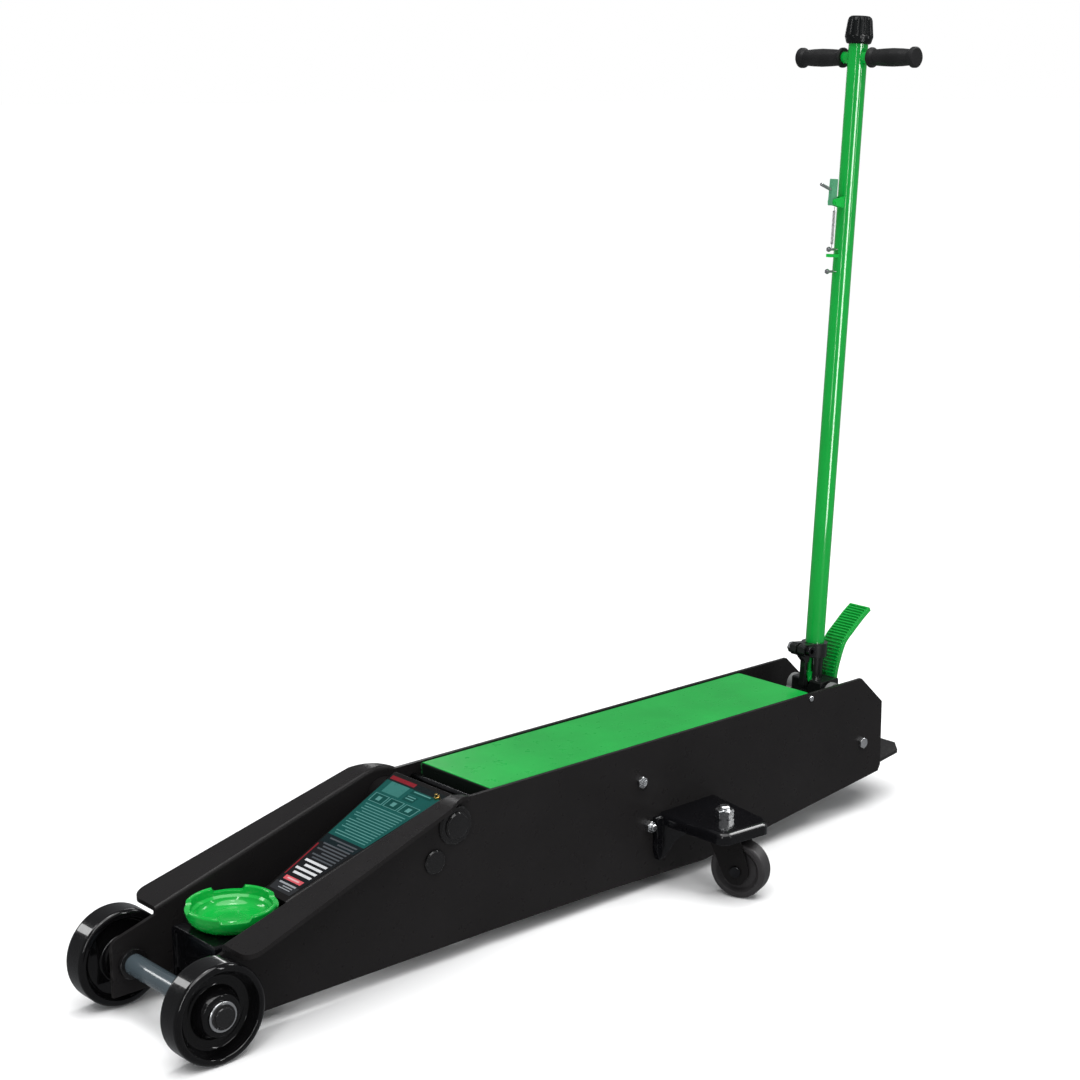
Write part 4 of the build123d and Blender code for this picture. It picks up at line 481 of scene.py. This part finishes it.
def label_material():
    m, nt, b = new_mat("printed_film")
    tc = nt.nodes.new("ShaderNodeTexCoord")
    sep = nt.nodes.new("ShaderNodeSeparateXYZ")
    nt.links.new(tc.outputs["UV"], sep.inputs[0])
    v = coords(nt)
    bands = nt.nodes.new("ShaderNodeValToRGB")
    bands.color_ramp.interpolation = "CONSTANT"
    els = bands.color_ramp.elements
    stops = [(0.0, (0.007, 0.010, 0.011)), (0.040, (0.0065, 0.062, 0.055)), (0.535, (0.0060, 0.0120, 0.0140)), (0.600, (0.0080, 0.0088, 0.0100)), (0.935, (0.020, 0.021, 0.023))]
    els[0].position = 0.0
    els[0].color = (*stops[0][1], 1)
    els[1].position = stops[1][0]
    els[1].color = (*stops[1][1], 1)
    for p, c in stops[2:]:
        e = els.new(p)
        e.color = (*c, 1)
    nt.links.new(sep.outputs["X"], bands.inputs["Fac"])
    fade = ramp(nt, noise_tex(nt, v, 12.0, 3.0, 0.6), [(0.3, (0.86, 0.86, 0.86)), (0.7, (1.0, 1.0, 1.0))])
    mul = nt.nodes.new("ShaderNodeMix")
    mul.data_type = "RGBA"
    mul.blend_type = "MULTIPLY"
    mul.inputs[0].default_value = 1.0
    nt.links.new(bands.outputs["Color"], mul.inputs[6])
    nt.links.new(fade, mul.inputs[7])
    nt.links.new(mul.outputs[2], b.inputs["Base Color"])
    nt.links.new(remap(nt, noise_tex(nt, v, 80.0, 3.0, 0.6), 0.24, 0.36), b.inputs["Roughness"])
    b.inputs["Specular IOR Level"].default_value = 0.05
    b.inputs["Coat Weight"].default_value = 0.04
    b.inputs["Coat Roughness"].default_value = 0.12
    nt.links.new(bump(nt, noise_tex(nt, v, 240.0, 2.0, 0.5), 0.10, 0.0003), b.inputs["Normal"])
    return m


def flat_film(name, colour, rough=0.3):
    m, nt, b = new_mat(name)
    v = coords(nt)
    d = tuple(c * 0.88 for c in colour)
    nt.links.new(ramp(nt, noise_tex(nt, v, 40.0, 3.0, 0.6), [(0.3, d), (0.7, colour)]), b.inputs["Base Color"])
    nt.links.new(remap(nt, noise_tex(nt, v, 80.0, 3.0, 0.6), rough * 0.85, rough * 1.15), b.inputs["Roughness"])
    b.inputs["Specular IOR Level"].default_value = 0.05
    b.inputs["Coat Weight"].default_value = 0.04
    b.inputs["Coat Roughness"].default_value = 0.12
    nt.links.new(bump(nt, noise_tex(nt, v, 240.0, 2.0, 0.5), 0.08, 0.0003), b.inputs["Normal"])
    return m


def sheet_patch(name, u0, u1, y0f, y1f, v, th, mat, nu=24, ny=8, corner=0.0):
    """Thin closed film on the arm's upper face, between fractions y0f and y1f of the tapering width."""
    verts, faces, uvs = [], [], []
    U0, U1 = -0.017, 0.233
    top, bot = [], []
    for i in range(nu + 1):
        u = u0 + (u1 - u0) * i / nu
        w = (0.0595 - (u - U0) * (0.0595 - 0.0227) / (U1 - U0))
        for j in range(ny + 1):
            f = y0f + (y1f - y0f) * j / ny
            verts.append(arm_pt(u, f * w, v + th))
            uvs.append(((u - U0) / (U1 - U0), (f + 1) / 2))
    nb = len(verts)
    for i in range(nu + 1):
        u = u0 + (u1 - u0) * i / nu
        w = (0.0595 - (u - U0) * (0.0595 - 0.0227) / (U1 - U0))
        for j in range(ny + 1):
            f = y0f + (y1f - y0f) * j / ny
            verts.append(arm_pt(u, f * w, v))
            uvs.append(((u - U0) / (U1 - U0), (f + 1) / 2))
    s = ny + 1
    for i in range(nu):
        for j in range(ny):
            a = i * s + j
            faces.append((a, a + 1, a + s + 1, a + s))
            faces.append((nb + a, nb + a + s, nb + a + s + 1, nb + a + 1))
    for i in range(nu):
        a = i * s
        faces.append((a, a + s, nb + a + s, nb + a))
        a = i * s + ny
        faces.append((a, nb + a, nb + a + s, a + s))
    for j in range(ny):
        faces.append((j, nb + j, nb + j + 1, j + 1))
        a = nu * s + j
        faces.append((a, a + 1, nb + a + 1, nb + a))
    return add_mesh(name, verts, faces, mat, "lift_arm", smooth=False, uvs=uvs)


sheet_patch("arm_panel_film", -0.017, 0.233, -1.0, 1.0, 0.0280, 0.00025, label_material())


def panel_blocks(name, rects, v, th, mat):
    """Plain printed blocks on the film, given as (u0, u1, y0, y1) with y in fractions of the half width."""
    verts, faces = [], []
    for u0, u1, f0, f1 in rects:
        base = len(verts)
        n = 4
        for lift in (v + th, v):
            for i in range(n + 1):
                u = u0 + (u1 - u0) * i / n
                w = 0.0595 - (u + 0.017) * (0.0595 - 0.0227) / 0.250
                verts.append(arm_pt(u, f0 * w, lift))
                verts.append(arm_pt(u, f1 * w, lift))
        m = 2 * (n + 1)
        for i in range(n):
            a = base + 2 * i
            faces.append((a, a + 1, a + 3, a + 2))
            faces.append((a + m, a + m + 2, a + m + 3, a + m + 1))
            faces.append((a, a + 2, a + m + 2, a + m))
            faces.append((a + 1, a + m + 1, a + m + 3, a + 3))
        faces.append((base, base + m, base + m + 1, base + 1))
        e = base + 2 * n
        faces.append((e, e + 1, e + m + 1, e + m))
    return add_mesh(name, verts, faces, mat, "lift_arm", smooth=False)


FILM = 0.02825
pale_teal = flat_film("film_pale_teal", (0.070, 0.200, 0.185))
mid_teal = flat_film("film_mid_teal", (0.030, 0.130, 0.115))
pale_grey = flat_film("film_pale_grey", (0.235, 0.245, 0.260))
pale_red = flat_film("film_pale_red", (0.560, 0.330, 0.345))
ink = flat_film("film_dark", (0.012, 0.013, 0.015))
white_film = flat_film("film_white", (0.52, 0.53, 0.54))
deep_teal = flat_film("film_deep_teal", (0.004, 0.046, 0.040))
deep_red = flat_film("film_deep_red", (0.165, 0.012, 0.018))
mid_grey = flat_film("film_mid_grey", (0.060, 0.066, 0.074))
red_film = flat_film("film_red", (0.500, 0.085, 0.100))
panel_blocks("panel_edge_strip", [(-0.0165, -0.0095, 0.05, 0.96), (0.1380, 0.2040, 0.90, 0.985)], FILM, 0.00012, deep_red)
panel_blocks("panel_title_block", [(-0.0060, 0.0170, 0.12, 0.80)], FILM, 0.00012, mid_teal)
panel_blocks("panel_side_blocks", [(-0.0060, 0.0020, -0.80, -0.02), (0.0050, 0.0170, -0.44, -0.02)], FILM, 0.00012, deep_teal)
panel_blocks("panel_side_marks", [(0.0065, 0.0085, -0.38, -0.08), (0.0110, 0.0130, -0.38, -0.08), (-0.0040, -0.0020, -0.72, -0.10)], FILM + 0.00012, 0.00010, pale_teal)
panel_blocks("panel_icon_frames", [(0.0215, 0.0395, -0.90 + 0.62 * k, -0.34 + 0.62 * k) for k in range(3)], FILM, 0.00012, pale_teal)
panel_blocks("panel_icon_fields", [(0.0225, 0.0385, -0.87 + 0.62 * k, -0.37 + 0.62 * k) for k in range(3)], FILM + 0.00012, 0.00010, deep_teal)
panel_blocks("panel_icon_marks", [(0.0265, 0.0345, -0.70 + 0.62 * k, -0.54 + 0.62 * k) for k in range(3)], FILM + 0.00022, 0.00010, pale_teal)
rows = []
ENDS = (0.86, 0.80, 0.84, 0.70, 0.86, 0.82, 0.60, 0.84, 0.86, 0.74, 0.82, 0.50, 0.84, 0.78, 0.86, 0.66, 0.30, 0.80)
for k in range(14):
    u = 0.0450 + 0.0050 * k
    rows.append((u, u + 0.0015, -0.86, ENDS[k]))
panel_blocks("panel_rows", rows, FILM, 0.00012, pale_teal)
panel_blocks("panel_bars", [(0.1215 + 0.0057 * k, 0.1241 + 0.0057 * k, -0.82, (0.70, 0.10, 0.74, 0.60, 0.76, 0.30, 0.70, 0.52)[k]) for k in range(8)], FILM, 0.00012, mid_grey)
panel_blocks("panel_bright_bars", [(0.1680 + 0.0085 * k, 0.1722 + 0.0085 * k, -0.78, (0.70, 0.42, 0.74, 0.58)[k]) for k in range(4)], FILM, 0.00012, white_film)
panel_blocks("panel_red_block", [(0.2045, 0.2120, -0.72, 0.74)], FILM, 0.00012, red_film)
panel_blocks("panel_red_bar", [(0.2068, 0.2094, -0.46, 0.50)], FILM + 0.00012, 0.00010, pale_red)
panel_blocks("panel_end_bars", [(0.2165, 0.2195, -0.70, 0.72), (0.2220, 0.2236, -0.64, 0.20), (0.2260, 0.2274, -0.64, 0.44)], FILM, 0.00012, pale_grey)


# ---------------------------------------------------------------- weld beads
paint = M["gloss_black"]
SADX = PIV.x - 0.329 * ca + 0.0065
BF = SADX - 0.059
for s, nm in ((-1, "left"), (1, "right")):
    bead("bracket_weld_" + nm, [(BF + 0.0035, s * 0.0442, 0.0560), (BF + 0.0035, s * 0.0442, 0.1020)], 0.0024, paint, "saddle_bracket", seed=s + 3)
bead("bracket_weld_top", [(BF + 0.0035, -0.0400, 0.1072), (BF + 0.0035, 0.0400, 0.1072)], 0.0022, paint, "saddle_bracket", seed=9)


for s, nm in ((-1, "left"), (1, "right")):
    yy = s * 0.0838
    bead("caster_weld_" + nm, [(X0 + 0.9095, yy, 0.1080), (X0 + 0.9080, yy, 0.0785), (X0 + 0.8220, yy, 0.0655), (X0 + 0.7970, yy, 0.0440)], 0.0022, paint, "chassis", seed=s + 21)


# ---------------------------------------------------------------- stage, lights, camera
SUN, STRIP, BOX, ENV = 2.95, 20.0, 3.0, 0.24
FLAG, TOPLIT, GLINT = 20.0, 5.5, 9.0


def stage_floor():
    me = bpy.data.meshes.new("stage_floor")
    r = 60.0
    me.from_pydata([(-r, -r, -0.0006), (r, -r, -0.0006), (r, r, -0.0006), (-r, r, -0.0006)], [], [(0, 1, 2, 3)])
    ob = bpy.data.objects.new("stage_floor", me)
    bpy.context.scene.collection.objects.link(ob)
    m, nt, b = new_mat("stage_pale")
    v = coords(nt)
    nt.links.new(ramp(nt, noise_tex(nt, v, 3.0, 2.0, 0.5), [(0.3, (0.88, 0.88, 0.88)), (0.7, (0.90, 0.90, 0.90))]), b.inputs["Base Color"])
    b.inputs["Roughness"].default_value = 0.95
    b.inputs["Specular IOR Level"].default_value = 0.0
    me.materials.append(m)
    ob.visible_glossy = False      # the paint mirrors the dim studio, not the white sweep


stage_floor()


def area(name, loc, target, size, radiance, sy=None):
    d = bpy.data.lights.new(name, "AREA")
    sy = sy or size
    d.energy = radiance * pi * size * sy
    d.shape = "RECTANGLE"
    d.size = size
    d.size_y = sy
    ob = bpy.data.objects.new(name, d)
    bpy.context.scene.collection.objects.link(ob)
    ob.location = loc
    ob.rotation_euler = (Vector(target) - Vector(loc)).to_track_quat("-Z", "Y").to_euler()
    return ob


def sun(name, direction, strength, angle):
    d = bpy.data.lights.new(name, "SUN")
    d.energy = strength
    d.angle = radians(angle)
    ob = bpy.data.objects.new(name, d)
    bpy.context.scene.collection.objects.link(ob)
    ob.rotation_euler = Vector(direction).to_track_quat("-Z", "Y").to_euler()
    return ob


sun("overhead", (0.12, 0.20, -1.0), SUN, 60)
area("strip_left", (-2.6, -1.5, 1.5), (0.0, 0.0, 0.35), 0.16, STRIP, 2.2)
area("strip_right", (1.2, -2.9, 1.7), (0.1, 0.0, 0.5), 0.16, STRIP * 0.8, 2.0)
area("box_top", (-0.4, 0.4, 2.9), (0.0, 0.0, 0.2), 0.8, BOX * 3.4, 0.5)
flag = area("flag_front", (-0.06, -2.70, 0.95), (0.55, 0.0, 0.85), 0.80, FLAG, 1.8)
flag.visible_diffuse = False
handle_only = bpy.data.collections.new("lit_by_flag")
for name in ("handle_tube", "t_bar", "handle_socket", "release_knob", "tube_lugs", "lock_lever", "foot_pedal"):
    handle_only.objects.link(NODES[name])
flag.light_linking.receiver_collection = handle_only
glint = area("glint_back_left", (-1.70, 2.40, 1.75), (-0.60, 0.0, 0.07), 0.42, GLINT, 1.5)
glint.visible_diffuse = False
front_only = bpy.data.collections.new("lit_by_glint")
for name in ("left_front_wheel", "right_front_wheel", "front_axle", "saddle_bracket", "bracket_front_plate", "saddle"):
    front_only.objects.link(NODES[name])
glint.light_linking.receiver_collection = front_only
side = area("glint_right", (2.00, -1.00, 1.80), (0.15, -0.20, 0.10), 1.30, GLINT * 1.3, 1.70)
side.visible_diffuse = False
hardware = bpy.data.collections.new("lit_by_side_glint")
for name in ("left_caster_bracket", "left_caster_wheel", "left_caster_fork", "left_caster_bolt", "caster_king_bolts", "chassis_bolts", "cover_screws"):
    hardware.objects.link(NODES[name])
side.light_linking.receiver_collection = hardware
area("box_front_left", (-1.30, -1.00, 2.50), (-0.30, 0.0, 0.10), 0.50, TOPLIT * 1.8, 0.28)
area("box_right_top", (2.00, -0.45, 2.20), (0.15, -0.15, 0.10), 0.90, TOPLIT * 1.6, 0.50)
area("strip_back", (1.6, 2.6, 1.6), (0.1, 0.0, 0.4), 0.20, STRIP * 0.2, 2.0)

# pale surround; the object itself is lit by a dimmer one, as between white flats in a dark studio
world = bpy.data.worlds.new("studio")
bpy.context.scene.world = world
world.use_nodes = True
wt = world.node_tree
wt.nodes.clear()
wo = wt.nodes.new("ShaderNodeOutputWorld")
wm = wt.nodes.new("ShaderNodeMixShader")
lp = wt.nodes.new("ShaderNodeLightPath")
bg_far = wt.nodes.new("ShaderNodeBackground")
bg_cam = wt.nodes.new("ShaderNodeBackground")
bg_far.inputs["Color"].default_value = (0.95, 0.97, 1.0, 1)
bg_far.inputs["Strength"].default_value = ENV
bg_cam.inputs["Color"].default_value = (1.0, 1.0, 1.0, 1)
bg_cam.inputs["Strength"].default_value = 1.0
wt.links.new(lp.outputs["Is Camera Ray"], wm.inputs["Fac"])
wt.links.new(bg_far.outputs[0], wm.inputs[1])
wt.links.new(bg_cam.outputs[0], wm.inputs[2])
wt.links.new(wm.outputs[0], wo.inputs["Surface"])

cam = bpy.data.cameras.new("camera")
cam.sensor_width = 36.0
cam.lens = 70.06
cam.shift_x = -(551.33 - 540.0) / 1080.0
cam.shift_y = (538.81 - 540.0) / 1080.0
cam.clip_start = 0.05
cam.clip_end = 60.0
yaw, pitch, roll = radians(48.263), radians(12.836), radians(-0.3315)
fw = Vector((cos(pitch) * cos(yaw), cos(pitch) * sin(yaw), -sin(pitch)))
rt = Vector((sin(yaw), -cos(yaw), 0.0))
up = rt.cross(fw)
r2 = rt * cos(roll) + up * sin(roll)
u2 = rt * (-sin(roll)) + up * cos(roll)
rot = Matrix((r2, u2, -fw)).transposed()
cob = bpy.data.objects.new("camera", cam)
bpy.context.scene.collection.objects.link(cob)
cob.matrix_world = Matrix.Translation(Vector((-1.91534, -2.14902, 1.18793))) @ rot.to_4x4()
bpy.context.scene.camera = cob
bpy.context.scene.view_settings.view_transform = "Standard"
